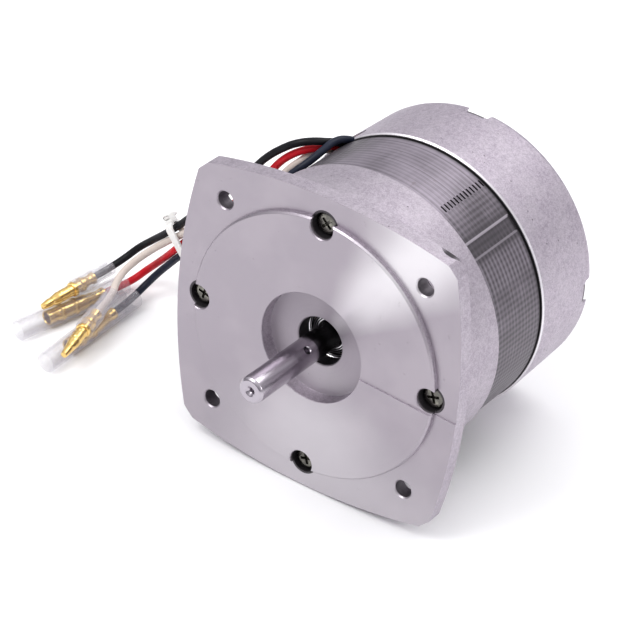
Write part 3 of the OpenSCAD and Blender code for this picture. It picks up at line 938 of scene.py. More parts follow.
def dress(
    piece: Piece,
    material: Paint,
    slot: str,
    body: Body,
    *nodes: str,
) -> Piece:
    """Gives a piece its finish and its place in the motor, and hides the CAD nodes that it stands for.

    Args:
        piece: the piece.
        material: its finish.
        slot: the record's material slot; not used.
        body: the body that it rides on.
        nodes: the CAD nodes that it replaces.

    Returns:
        The same piece.
    """
    piece.data.materials.clear()
    piece.data.materials.append(material)
    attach(piece, body.value)
    if nodes:
        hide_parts(*nodes)
    log.info("%s made, for %s", piece.name, ", ".join(nodes) or "detail")
    return piece


# ---------------------------------------------------------------- leads and what is on them


class LeadName(Enum):
    """The four leads, by the colour of their insulation."""

    NAVY = "navy"
    BLACK = "black"
    RED = "red"
    WHITE = "white"


# Routes of the leads in millimetres, from the grommet to the plug or socket that each ends in.
ROUTES: dict[LeadName, list[Point]] = {
    LeadName.NAVY: [
        (-24.6, 56.7, 30), (-28.1, 50.2, 33.5), (-29.4, 46.4, 33.6), (-30.3, 42.5, 32.1),
        (-31.8, 39, 29.8), (-34.5, 36, 26.6), (-38, 34.5, 22.2), (-41.3, 34, 16.8),
        (-45, 34.6, 11.2), (-49, 35.8, 5.8), (-53.5, 37.2, 0.6), (-58.5, 38.8, -4.4),
        (-63.8, 40.4, -9.4), (-69.2, 42, -14.4), (-74.5, 43.6, -19.6), (-79.8, 45, -25.2),
        (-84.4, 45.6, -30.6), (-88.2, 45.2, -35.4), (-90.6, 43, -39.2), (-91.4, 38.4, -41.5),
        (-91.2, 28.8, -42.5), (-91.2, 23.6, -42.9),
    ],
    LeadName.BLACK: [
        (-26.5, 56.7, 28.1), (-30.1, 50.1, 31.7), (-32, 46.4, 32.8), (-34.8, 43.6, 33),
        (-38.8, 41.6, 31.6), (-43, 40.6, 28.6), (-47.2, 39.8, 24.6), (-50.8, 39.4, 20),
        (-54.4, 39.6, 15), (-58.4, 40.2, 10), (-62.8, 41, 5.2), (-67.4, 42, 0.4),
        (-72.2, 43.2, -4.8), (-76.8, 44.4, -10.2), (-81.6, 45, -15.6), (-86.8, 45.8, -20.8),
        (-92, 46.4, -25.6), (-96.6, 46, -30), (-99.6, 43.4, -33.6), (-101, 38.8, -35.2),
        (-101.9, 32.1, -35.9), (-102.7, 26.4, -36.5),
    ],
    LeadName.RED: [
        (-28.4, 56.7, 26.2), (-32, 50.1, 29.8), (-33.6, 46.6, 30.2), (-36.4, 43.8, 29.6),
        (-40.4, 42.2, 27), (-44, 41.4, 23.2), (-47, 40.8, 18.4), (-50.4, 41, 13.6),
        (-54.2, 41.6, 8.8), (-58.4, 42.6, 4), (-63, 43.8, -0.8), (-67.6, 44.8, -5.9),
        (-72, 45.6, -11.2), (-76.2, 45.8, -16.8), (-80.4, 45, -22.1), (-85, 46.4, -27.6),
        (-90, 47.8, -33.2), (-94.4, 47.8, -38), (-97, 44.8, -41), (-98.4, 40, -41.8),
        (-99.7, 34.9, -42.1), (-101, 29.8, -42.4),
    ],
    LeadName.WHITE: [
        (-30.3, 56.7, 24.3), (-33.9, 50.1, 27.9), (-35.8, 46.4, 28), (-37.6, 43.6, 25.8),
        (-40.4, 41.6, 22.6), (-43.2, 40.4, 18.4), (-46.4, 39.6, 13.8), (-50, 39.2, 9),
        (-54.6, 39, 4.6), (-59.6, 39.4, 0.4), (-64.8, 40, -3.8), (-70, 41, -8.4),
        (-75.4, 42.6, -13.4), (-81, 45, -18.8), (-86.2, 45.2, -23.4), (-90.8, 43.4, -27.8),
        (-93.6, 39.6, -31.2), (-94.2, 35.2, -33.2), (-93.2, 31, -34.5), (-91.5, 27.2, -35.3),
        (-89.7, 18.2, -36.8), (-88.6, 12.6, -37.7),
    ],
}


@dataclass
class Terminal:
    """A brass terminal and its clear sleeve: each lies from its mouth or tip to where its lead comes in."""

    lead: LeadName
    start: Point
    end: Point
    brass: Metal = Metal("brass", (0.86, 0.60, 0.22), 0.22, (0.62, 0.40, 0.13), ring_depth=0.002, stain=0.5)
    vinyl: ClearVinyl = ClearVinyl("clear_vinyl")
    bench: Bench = field(default_factory=lambda: Bench(steps=48))

    @property
    def length(self) -> float:
        """From the mouth or tip to the sleeve's far end."""
        return (Vector(self.end) - Vector(self.start)).length

    def lay(self, piece: Piece) -> None:
        """Moves a piece from the bench's Y axis to where the terminal lies."""
        self.bench.put(piece, lying(self.start, self.end))

    def finish(self, metal: Piece, sleeve: Piece, kind: str) -> list[Piece]:
        """Lays and dresses both pieces.

        Args:
            metal: the brass piece.
            sleeve: the clear sleeve.
            kind: "plug" or "socket", as in the CAD node's name.

        Returns:
            Both pieces.
        """
        for piece in (metal, sleeve):
            self.lay(piece)
        name = self.lead.value
        dress(metal, MATERIALS.get(self.brass), "terminal_brass", Body.MOTOR, f"{name}_{kind}")
        dress(sleeve, MATERIALS.get(self.vinyl), "clear_sleeve", Body.MOTOR, f"{name}_sleeve")
        return [metal, sleeve]


@dataclass
class BulletPlug(Terminal):
    """A solid brass bullet with a cone tip, a waist and a crimped barrel."""

    radius: float = 1.85
    bare: float = 13.0
    barrel_end: float = 21.0
    collar: float = 2.3
    sleeve_radius: float = 2.8
    sleeve_wall: float = 0.5
    neck_radius: float = 2.3

    def build(self) -> list[Piece]:
        """Makes the bullet and its stepped sleeve.

        Returns:
            The brass piece and the sleeve.
        """
        r, bare = self.radius, self.bare
        metal = self.bench.turn(
            f"{self.lead.value}_bullet",
            [
                (0, 0), (r - 1.15, 0), (r - 0.95, 0.12), (r - 0.85, 0.4), (r - 0.42, 3.1),
                (r - 0.45, 3.3), (r - 0.62, 3.5), (r - 0.62, 3.9), (r - 0.40, 4.1), (r - 0.12, 5.9),
                (r, 6.2), (r, 6.9), (r - 0.15, 7.1), (r - 0.15, 7.5), (r, 7.7),
                (r, bare - 3.2), (r - 0.18, bare - 3.0),
                (r - 0.18, bare - 2.6), (r, bare - 2.4), (r, bare - 1.1),
                (self.collar - 0.12, bare - 1), (self.collar, bare - 0.85), (self.collar, bare - 0.1),
                (r, bare), (r, 15), (self.collar, 15.4), (self.collar, 16.2), (r, 16.6),
                (r, 17.6), (r - 0.3, 18.2), (r - 0.3, 19.6), (r, 20.2), (r, self.barrel_end - 0.15),
                (r - 0.15, self.barrel_end), (1.2, self.barrel_end), (1.2, 16), (0, 16),
            ],
        )
        outer, wall, neck, end = self.sleeve_radius, self.sleeve_wall, self.neck_radius, self.length
        sleeve = self.bench.turn(
            f"{self.lead.value}_clear_sleeve",
            [
                (outer - wall, bare + 0.05), (outer - 0.1, bare + 0.02), (outer, bare + 0.12),
                (outer, 20.3), (outer - 0.08, 20.9), (neck + 0.1, 22.1), (neck, 22.8),
                (neck, end - 0.1), (neck - 0.1, end), (neck - wall, end), (neck - wall, 22.6),
                (outer - wall - 0.05, 20.7), (outer - wall, 20.2),
            ],
        )
        return self.finish(metal, sleeve, "plug")


@dataclass
class Receptacle(Terminal):
    """An open brass tube, rolled from strip, with two raised rings and a crimped barrel."""

    bore: float = 1.9
    outer: float = 2.35
    rib: float = 2.8
    mouth: float = 10.5
    tube_end: float = 25.0
    barrel_end: float = 32.0
    sleeve_radius: float = 3.3
    sleeve_wall: float = 0.5

    def build(self) -> list[Piece]:
        """Makes the receptacle and its straight sleeve.

        Returns:
            The brass piece and the sleeve.
        """
        metal = self._tube()
        outer, wall, end = self.sleeve_radius, self.sleeve_wall, self.length
        sleeve = self.bench.turn(
            f"{self.lead.value}_clear_sleeve",
            [
                (outer - wall, 0.1), (outer - wall + 0.1, 0), (outer - 0.1, 0), (outer, 0.1),
                (outer, end - 0.1), (outer - 0.1, end),
                (outer - wall + 0.1, end), (outer - wall, end - 0.1),
            ],
        )
        return self.finish(metal, sleeve, "socket")

    def _tube(self) -> Piece:
        """The brass tube itself, with its seam cut."""
        b, o, rib, m, end = self.bore, self.outer, self.rib, self.mouth, self.barrel_end
        barrel = b + 0.05
        tube = self.bench.turn(
            f"{self.lead.value}_receptacle",
            [
                (0, 27.5), (1.2, 27.5), (1.2, end), (barrel - 0.15, end), (barrel, end - 0.15),
                (barrel, 30.7), (barrel - 0.25, 30.2), (barrel - 0.25, 28.1), (barrel, 27.6),
                (barrel, 25.6), (o, 24.6), (o, 21.5), (rib - 0.1, 21.2), (rib, 21), (rib, 20.4),
                (rib - 0.1, 20.2), (o, 19.9), (o, 16.5), (rib - 0.1, 16.2), (rib, 16), (rib, 15.4),
                (rib - 0.1, 15.2), (o, 14.9), (o, 13.9), (o - 0.14, 13.6), (o - 0.14, 13.2),
                (o, 12.9), (o, m + 0.12), (o - 0.1, m), (b + 0.2, m), (b, m + 0.25),
                (b, self.tube_end), (0, self.tube_end),
            ],
        )
        seam = self.bench.block("seam", (0, m + 6.2, 3), (0.35, 14, 3))
        self.bench.combine(tube, [seam])
        self.bench.smooth(tube)
        return tube


@dataclass
class Lead:
    """One stranded lead in vinyl insulation, as a curve through its route."""

    name: LeadName
    length: float
    finish: Polymer
    far_pieces: list[Piece]
    diameter: float = 2.3
    exit_index: int = 1

    def build(self) -> Piece:
        """Returns:
            The curve.
        """
        curve = bpy.data.curves.new(f"lead_{self.name.value}_wire", "CURVE")
        curve.dimensions = "3D"
        curve.bevel_depth = self.diameter / 2 * MM
        curve.bevel_resolution = 6
        curve.resolution_u = 8
        curve.use_fill_caps = True
        spline = curve.splines.new("BEZIER")
        route = ROUTES[self.name]
        spline.bezier_points.add(len(route) - 1)
        for knot, point in zip(spline.bezier_points, route):
            knot.co = Vector(point) * MM
            knot.handle_left_type = knot.handle_right_type = "AUTO"
        lead = show(bpy.data.objects.new(curve.name, curve))
        node = f"lead_{self.name.value}"
        dress(lead, MATERIALS.get(self.finish), node, Body.MOTOR, node)
        self.length * MM
        self.diameter * MM
        return lead


class MaterialShelf:
    """Builds each finish once and hands out the same material afterwards."""

    def __init__(self) -> None:
        """Starts empty."""
        self._made: dict[str, Paint] = {}

    def get(self, finish: Any) -> Paint:
        """The material of a finish, built at its first use."""
        if finish.name not in self._made:
            self._made[finish.name] = finish.build()
        return self._made[finish.name]


MATERIALS = MaterialShelf()


@dataclass
class CableTie:
    """The white nylon tie drawn round the row of leads, with its locking head and cut tail."""

    centre: Point = (-79.6, 44.7, -19.3)
    lean_deg: float = 40.0
    half_row: float = 3.8
    inner_radius: float = 1.95
    thickness: float = 0.9
    width: float = 2.5
    head: float = 3.2
    finish: Polymer = Polymer("tie_nylon", (0.86, 0.85, 0.83), (0.76, 0.75, 0.72), 0.42, subsurface=0.12)
    bench: Bench = field(default_factory=lambda: Bench(steps=48))

    def build(self) -> Piece:
        """Makes the strap, head and tail as one moulding.

        Returns:
            The tie.
        """
        strap = self._loop("strap", self.inner_radius + self.thickness, self.width)
        strap_hole = self._loop("strap_hole", self.inner_radius, self.width + 2)
        self.bench.combine(strap, [strap_hole])
        self.bench.round_edges(strap, 0.18)
        top = -(self.half_row + self.inner_radius)
        size = self.head
        head = self.bench.block("head", (top - size / 2 - 0.1, 0, 0), (size, size, size - 0.4), 0.45)
        mouth = self.bench.block("mouth", (top - 2.1, 0, 0), (1.3, size + 2, self.width + 0.1), 0.1, 1)
        pawl = self.bench.block("pawl", (top - 1.2, 0.2, 0), (1.0, 1.6, 1.5), 0.2, 2)
        self.bench.combine(head, [mouth])
        tail_size = (self.thickness, size + 1.0, self.width - 0.3)
        tail = self.bench.block("tail", (top - 2.2, 0.8, 0), tail_size, 0.18, 2)
        tooth_size = (0.22, 0.25, self.width - 0.9)
        teeth = [
            self.bench.block("tooth", (top - 1.7, 1.3 + 0.55 * i, 0), tooth_size, 0.06, 1)
            for i in range(3)
        ]
        tie = self.bench.join([strap, head, pawl, tail, *teeth], "cable_tie_band")
        frame_turn = Matrix.Rotation(math.radians(90 - self.lean_deg), 4, "Y")
        self.bench.put(tie, Matrix.Translation(Vector(self.centre) * MM) @ frame_turn)
        return dress(tie, MATERIALS.get(self.finish), "tie_nylon", Body.MOTOR, "cable_tie")

    def _loop(self, name: str, radius: float, width: float) -> Piece:
        """A solid slab with round ends, across the row of leads.

        Args:
            name: its name.
            radius: the radius of its ends.
            width: its width along the leads.

        Returns:
            The slab.
        """
        bench = self.bench
        bench.clear()
        bpy.ops.mesh.primitive_cylinder_add(vertices=bench.steps, radius=radius * MM, depth=width * MM)
        slab = bpy.context.object
        slab.name = name
        with bench.editing():
            bpy.ops.mesh.bisect(plane_co=(0, 0, 0), plane_no=(1, 0, 0), use_fill=False)
        half = self.half_row * MM
        for vertex in slab.data.vertices:
            if abs(vertex.co.x) > 1e-7:
                vertex.co.x += math.copysign(half, vertex.co.x)
        bench.outward(slab)
        return slab


# ---------------------------------------------------------------- the motor itself


@dataclass
class FrontBracket:
    """The cast front bracket: bowed square flange, turned pilot, recess, drum and bearing hub."""

    half: float = 47.5
    side_radius: float = 171.4
    corner_radius: float = 58.4
    thickness: float = 5.0
    pilot: float = 40.75
    pilot_face: float = -1.8
    recess: float = 16.8
    recess_floor: float = 2.8
    opening: float = 7.4
    bolt_circle: float = 39.0
    mount_circle: float = 47.0
    mount_hole: float = 2.6
    finish: CastAluminium = CastAluminium(
        "cast_front",
        turned_to_y=4.6,
        # Painted shade in the seam behind the flange, the bolt holes, the bearing opening and the mounting
        # holes.
        shaded_seam=(5.12, 6.2, 41.5, 60.0),
        bolt_holes_to_y=(-1.4, 5.0),
        opening=7.6,
        screw_hole=33.23,
    )
    bench: Bench = field(default_factory=lambda: Bench(steps=240))

    def build(self) -> Piece:
        """Makes the bracket.

        Returns:
            The bracket, which stands for the CAD node.
        """
        bracket = self._turned_body()
        self.bench.combine(bracket, [self._flange()], "UNION")
        self.bench.combine(bracket, self._bosses(), "UNION")
        tools = self._bolt_holes() + self._mounting_holes() + self._scribed_line()
        self.bench.combine(bracket, tools)
        self.bench.smooth(bracket, 28)
        self.bench.even_shading(bracket)
        bracket.name = "front_bracket_casting"
        return dress(bracket, MATERIALS.get(self.finish), "cast_face", Body.MOTOR, "front_bracket")

    def _turned_body(self) -> Piece:
        """The pilot, recess, drum, cavity and hub, as one turned ring."""
        face, floor = self.pilot_face, self.recess_floor
        return self.bench.turn(
            "front_body",
            [
                (self.opening, floor + 0.3), (self.opening + 0.3, floor), (self.recess - 0.6, floor),
                (self.recess - 0.15, floor - 0.12), (self.recess, floor - 0.5),
                (self.recess, face + 0.3), (self.recess + 0.12, face + 0.08), (self.recess + 0.4, face),
                (self.pilot - 0.75, face), (self.pilot - 0.55, face + 0.06),
                (self.pilot - 0.06, face + 0.55),
                (self.pilot, face + 0.8), (self.pilot, 0.0), (self.pilot, 2.0),
                (45.0, 2.0), (45.0, 4.85), (44.3, 5.15), (43.75, 5.7), (43.42, 6.6), (43.36, 8.0),
                (43.15, 26.9), (43.05, 27.3), (42.7, 27.5), (38.4, 27.5), (38.4, 7.5), (37.4, 6.5),
                (15.8, 6.5), (15.0, 7.3), (15.0, 16.7), (14.7, 17.0), (11.3, 17.0), (11.0, 16.7),
                (11.0, 16.1), (11.7, 16.1), (11.7, 15.1), (11.0, 15.1), (11.0, 8.0), (self.opening, 8.0),
            ],
        )

    def _flange(self) -> Piece:
        """The flange plate, bowed on four sides, its corners trimmed round, its edges eased."""
        bench = self.bench
        plate = bench.rod("plate", self.corner_radius, 0, self.thickness, 360)
        for degrees in SIDES:
            arc = bench.rod("side_arc", self.side_radius, -1, self.thickness + 1, 720)
            arc.matrix_world = at_polar(self.half - self.side_radius, degrees)
            bench.settle(arc)
            bench.combine(plate, [arc], "INTERSECT")
        bench.outward(plate)
        bench.pick(plate)
        with bench.editing():
            bpy.ops.mesh.dissolve_limited(angle_limit=math.radians(0.02))
            bpy.ops.mesh.select_mode(type="EDGE")
            bpy.ops.mesh.select_all(action="DESELECT")
            bpy.ops.mesh.edges_select_sharp(sharpness=math.radians(45))
            bpy.ops.mesh.bevel(offset=0.8 * MM, segments=4, affect="EDGES", clamp_overlap=True)
        bench.outward(plate)
        bench.combine(plate, [bench.rod("centre", 30, -1, self.thickness + 1, 120)])
        return plate

    def _bosses(self) -> list[Piece]:
        """The four bosses that the through bolts pass, inside the drum."""
        boss = self.bench.rod("boss", 4.0, 6.0, 27.5, 48)
        return self.bench.ring(boss, self.bolt_circle - 0.2)

    def _bolt_holes(self) -> list[Piece]:
        """Tools for the counterbores, which break into the pilot's edge, and the bolt holes."""
        tool = self.bench.turn(
            "counterbore",
            [
                (0, -4.0), (4.25, -4.0), (4.0, -1.75), (3.75, -1.5), (3.75, 4.5), (3.65, 4.6),
                (2.2, 4.6), (2.2, 28.5), (0, 28.5),
            ],
            64,
        )
        return self.bench.ring(tool, self.bolt_circle)

    def _mounting_holes(self) -> list[Piece]:
        """Tools for the four mounting holes, with their mouths eased on both faces."""
        r, t = self.mount_hole, self.thickness
        tool = self.bench.turn(
            "mounting_hole",
            [
                (0, -1), (r + 0.5, -1), (r + 0.4, 0), (r, 0.4),
                (r, t - 0.3), (r + 0.3, t), (r + 0.4, t + 1), (0, t + 1),
            ],
            64,
        )
        return self.bench.ring(tool, self.mount_circle, CORNERS)

    def _scribed_line(self) -> list[Piece]:
        """Tools for the line scribed from the recess across the pilot and the flange."""
        width, depth = 1.3, 0.4
        tools = []
        on_pilot = (self.pilot_face, 15.8, self.pilot + 0.2)
        on_flange = (0.0, self.pilot - 0.2, self.half + 1)
        for face, start, end in (on_pilot, on_flange):
            line = self.bench.block(
                "scribe", ((start + end) / 2, face - 1 + depth, 0), (end - start, 2, width), 0.2, 2
            )
            drop = Matrix.Translation(Vector((0, 0, -1.4)) * MM)
            self.bench.put(line, drop @ spin_about_shaft(-3.4))
            tools.append(line)
        return tools


@dataclass
class RearBracket:
    """The deep cast rear bracket, with bolt spot-faces that break its rim and a notch for the leads."""

    wall: float = 38.4
    land: float = 41.6
    rim: float = 43.1
    back: float = 42.3
    start: float = 50.0
    end: float = 78.6
    bolt_circle: float = 39.0
    notch_deg: float = 135.25
    notch_width: float = 13.4
    finish: CastAluminium = CastAluminium(
        "cast_rear",
        (0.58, 0.52, 0.59),
        (0.34, 0.30, 0.355),
        turned_to_y=51.5,
        # The turned rim is painted near white: a painted highlight line along its chamfer.
        turned_colour=(0.92, 0.90, 0.93),
        # Painted shade in the gap next to the stator and on the floors of the spot-faces.
        shaded_seam=(49.0, 50.9, 38.0, 42.62),
        bolt_holes_to_y=(73.6, 80.0),
        raggedness=0.06,
        grain_per_mm=2.8,
    )
    bench: Bench = field(default_factory=lambda: Bench(steps=240))

    def build(self) -> Piece:
        """Makes the bracket.

        Returns:
            The bracket, which stands for the CAD node.
        """
        bench = self.bench
        s, e = self.start, self.end
        bracket = bench.turn(
            "rear_bracket_casting",
            [
                (0, 73.6), (6, 73.6), (6, 72), (10.7, 72), (11, 71.7), (11, 62.8),
                (11.3, 62.5), (14.7, 62.5),
                (15, 62.8), (15, 72.8), (15.8, 73.6), (37.4, 73.6), (self.wall, 72.6), (self.wall, s),
                (self.land - 0.1, s), (self.land, s + 0.1), (self.land, s + 0.75),
                (self.rim - 0.62, s + 0.75),
                (self.rim - 0.04, s + 1.3), (self.rim, s + 1.4), (self.back + 0.08, e - 2.2),
                (self.back - 0.12, e - 1.2), (self.back - 0.55, e - 0.45), (self.back - 1.3, e - 0.08),
                (self.back - 2.0, e), (20.4, e), (20.0, e - 0.4), (12.2, e - 0.4),
                (11.6, e - 0.7), (0, e - 0.7),
            ],
        )
        boss = bench.rod("boss", 4.0, s + 0.9, 74.2, 48)
        bench.combine(bracket, bench.ring(boss, self.bolt_circle - 0.6), "UNION")
        bench.combine(bracket, self._bolt_holes() + [self._notch()])
        bench.smooth(bracket, 28)
        bench.even_shading(bracket)
        return dress(bracket, MATERIALS.get(self.finish), "cast_body", Body.MOTOR, "rear_bracket")

    def _bolt_holes(self) -> list[Piece]:
        """Tools for the bolt holes and their spot-faces."""
        tool = self.bench.turn(
            "spotface",
            [
                (0, 49), (2.2, 49), (2.2, 62), (2.0, 62.2), (2.0, 74.5), (2.3, 74.8), (4.7, 74.8),
                (5.0, 75.1), (5.0, 78.2), (5.4, 78.8), (5.6, 80), (0, 80),
            ],
            64,
        )
        return self.bench.ring(tool, self.bolt_circle)

    def _notch(self) -> Piece:
        """The tool for the notch that the leads' grommet sits in."""
        notch = self.bench.block("notch", (41, self.start + 3, 0), (11.6, 8, self.notch_width))
        self.bench.put(notch, spin_about_shaft(self.notch_deg))
        return notch


@dataclass
class Stator:
    """The stator's laminated core; its winding and insulation keep their CAD shapes."""

    radius: float = 42.3
    start: float = 27.5
    end: float = 50.0
    cleat_deg: float = 64.0
    cleat_count: int = 13
    steel: Laminations = Laminations("laminations")
    bench: Bench = field(default_factory=Bench)

    def build(self) -> Piece:
        """Makes the core with its cleats and ground lines.

        Returns:
            The core.
        """
        core = self.bench.blank_from("stator_core", "stator_laminations")
        self.bench.combine(core, [self._cleats()])
        self.bench.combine(core, self._grooves())
        self.bench.smooth(core, 20)
        dress(core, MATERIALS.get(self.steel), "lamination", Body.MOTOR, "stator_core")
        return core

    def _cleats(self) -> Piece:
        """The tool for a row of short slots across the stack, where the sheets are interlocked."""
        first, last = self.start + 3.0, self.end - 0.6
        pitch = (last - first) / (self.cleat_count - 1)
        slots = [
            self.bench.block("cleat", (0, first + i * pitch, 0), (1.0, 0.70, 2.3), 0.1, 1)
            for i in range(self.cleat_count)
        ]
        row = self.bench.join(slots, "cleats")
        self.bench.put(row, at_polar(self.radius, self.cleat_deg))
        return row

    def _grooves(self) -> list[Piece]:
        """Tools for shallow ground lines along the edges of the four flats."""
        made = []
        for corner in CORNERS:
            for offset in (-3.6, 3.6):
                line = self.bench.block(
                    "line", (0, (self.start + self.end) / 2, 0), (0.24, self.end - self.start + 2, 0.5)
                )
                self.bench.put(line, at_polar(self.radius, corner + offset))
                made.append(line)
        return made


@dataclass
class Shaft:
    """The ground shaft, with its chamfered end, centre dimple and drilled cross hole."""

    radius: float = 4.0
    tip: float = -30.0
    hole_y: float = -7.0
    hole_deg: float = 51.0
    finish: Metal = Metal(
        "shaft_steel",
        (0.42, 0.385, 0.43),
        0.22,
        (0.50, 0.465, 0.51),
        ring_depth=0.001,
        # A painted dark reflection on the neck from here on.
        dark_reflection_from=-3.4,
        lumps=0.001,
    )
    bench: Bench = field(default_factory=lambda: Bench(steps=96))

    def build(self) -> Piece:
        """Makes the shaft.

        Returns:
            The shaft, which stands for the CAD node.
        """
        r, tip = self.radius, self.tip
        shaft = self.bench.turn(
            "shaft_bar",
            [
                (0, tip + 2.3), (0.6, tip + 1.9), (0.65, tip + 0.9), (1.55, tip + 0.06), (1.7, tip),
                (r - 0.85, tip), (r - 0.72, tip + 0.04), (r - 0.05, tip + 0.72), (r, tip + 0.9),
                (r, 2.7), (r - 0.15, 3.0), (r - 0.15, 7.8), (r, 8.0), (r, 15), (5.8, 15), (6, 15.2),
                (6, 63.8), (5.8, 64), (r, 64), (r, 71), (r - 0.5, 71.5), (0, 71.5),
            ],
        )
        drill = self.bench.turn(
            "drill",
            [(0, -6), (2.2, -6), (1.28, -3.9), (1.1, -3.6), (1.1, 3.6), (1.28, 3.9), (2.2, 6), (0, 6)],
            40,
        )
        across = Matrix.Rotation(math.radians(-90), 4, "Z")
        self.bench.put(drill, spin_about_shaft(self.hole_deg) @ across)
        self.bench.put(drill, Matrix.Translation((0, self.hole_y * MM, 0)))
        self.bench.combine(shaft, [drill])
        self.bench.smooth(shaft, 30)
        return dress(shaft, MATERIALS.get(self.finish), "shaft_steel", Body.ROTOR, "shaft")


@dataclass
class ThroughBolts:
    """The four long bolts with cross-slotted cheese heads, and their spring washers."""

    circle: float = 39.0
    head_radius: float = 3.5
    head_top: float = 1.0
    seat: float = 3.8
    end: float = 76.8
    finish: Metal = Metal("bolt_steel", (0.12, 0.115, 0.105), 0.22, (0.40, 0.39, 0.33), stain=0.9)
    bench: Bench = field(default_factory=lambda: Bench(steps=48))

    def build(self) -> list[Piece]:
        """Makes the bolts and washers.

        Returns:
            The four bolts as one piece, and the four washers as another.
        """
        r, top, seat = self.head_radius, self.head_top, self.seat
        bolt = self.bench.turn(
            "bolt",
            [
                (0, top), (r - 1.1, top), (r - 0.5, top + 0.12), (r - 0.14, top + 0.45), (r, top + 0.9),
                (r, seat - 0.1), (r - 0.1, seat), (2.0, seat), (2.0, 60.0),
                *self._thread(60.4, self.end - 0.5),
                (1.4, self.end), (0, self.end),
            ],
        )
        slots = [
            self.bench.block("slot", (0, top + 0.4, 0), (3.9, 1.7, 0.85), 0.12, 1),
            self.bench.block("slot", (0, top + 0.4, 0), (0.85, 1.7, 3.9), 0.12, 1),
        ]
        self.bench.combine(bolt, slots)
        self.bench.smooth(bolt)
        places = [at_polar(self.circle, a) @ spin_about_shaft(a / 3 + 17) for a in SIDES]
        bolts = self.bench.join(self.bench.copies(bolt, places), "bolt_set")
        dress(bolts, MATERIALS.get(self.finish), "bolt_steel", Body.MOTOR, "through_bolts")
        return [bolts, self._washers()]

    @staticmethod
    def _thread(start: float, end: float, pitch: float = 0.7) -> list[tuple[float, float]]:
        """The zigzag of a coarse thread between two places."""
        turns = int((end - start) / pitch)
        made = []
        for i in range(turns):
            made += [(1.66, start + i * pitch), (2.0, start + (i + 0.5) * pitch)]
        return made

    def _washers(self) -> Piece:
        """The split spring washers under the heads."""
        washer = self.bench.turn(
            "washer",
            [
                (2.15, 3.9), (2.25, 3.8), (3.4, 3.8), (3.5, 3.9),
                (3.5, 4.5), (3.4, 4.6), (2.25, 4.6), (2.15, 4.5),
            ],
        )
        split = self.bench.block("split", (2.8, 4.2, 0), (2.4, 2, 0.35))
        self.bench.combine(washer, [split])
        washers = self.bench.join(self.bench.ring(washer, self.circle), "spring_washers")
        return dress(washers, MATERIALS.get(self.finish), "bolt_steel", Body.MOTOR, "bolt_washers")


@dataclass
class Bearing:
    """One deep-groove ball bearing: the shields are pressed anew, the rest keeps its CAD shape."""

    name: str
    start: float
    balls: Body
    # The races carry painted reflection rings.
    race: Metal = Metal(
        "bearing_steel", (0.66, 0.65, 0.68), 0.14, (0.50, 0.48, 0.50), ring_depth=0.002, reflection_rings=0.62
    )
    ball: Metal = Metal("ball_steel", (0.78, 0.77, 0.80), 0.07, (0.66, 0.65, 0.68), ring_depth=0.0)
    cage: Metal = Metal("cage_steel", (0.46, 0.38, 0.26), 0.32, (0.60, 0.50, 0.34))
    # The shields carry painted reflection rings.
    shield: Metal = Metal(
        "shield_steel", (0.86, 0.84, 0.87), 0.16, (0.60, 0.58, 0.60), ring_depth=0.002, reflection_rings=0.62
    )
    bench: Bench = field(default_factory=lambda: Bench(steps=128))

    def build(self) -> list[Piece]:
        """Dresses the races, balls and cage, and makes the shields.

        Returns:
            The pair of shields.
        """
        for part, finish in (("outer_ring", self.race), ("inner_ring", self.race),
                             ("balls", self.ball), ("ball_cage", self.cage)):
            paint_node(f"{self.name}_{part}", finish)
        s = self.start
        front = self._shield(s + 0.25, 1)
        back = self._shield(s + 6.75, -1)
        pair = self.bench.join([front, back], f"{self.name}_shield_pair")
        return [dress(pair, MATERIALS.get(self.shield), "shield_steel", Body.MOTOR, f"{self.name}_shields")]

    def _shield(self, face: float, inward: int) -> Piece:
        """A pressed shield, dished towards the balls.

        Args:
            face: where its outer face lies.
            inward: 1 if the balls are further along Y, else -1.

        Returns:
            The shield.
        """
        profile = [
            (6.4, 0.3), (6.45, 0.24), (6.75, 0.22), (6.9, 0.06), (7.05, 0.04), (7.2, 0.2), (7.5, 0.24),
            (7.7, 0.06), (8.2, 0.0), (8.6, 0.02), (8.85, 0.14), (8.85, 0.35), (8.5, 0.3),
            (8.2, 0.25), (7.7, 0.3), (7.2, 0.36), (6.45, 0.36),
        ]
        return self.bench.turn("shield", [(r, face + inward * y) for r, y in profile])


def paint_node(node: str, finish: Any) -> None:
    """Gives a CAD node that keeps its shape a better finish.

    Args:
        node: the node's name.
        finish: a finish with a name and a build method.
    """
    shape = frame["nodes"][node]
    shape.data.materials.clear()
    shape.data.materials.append(MATERIALS.get(finish))
    log.info("%s keeps its CAD shape", node)


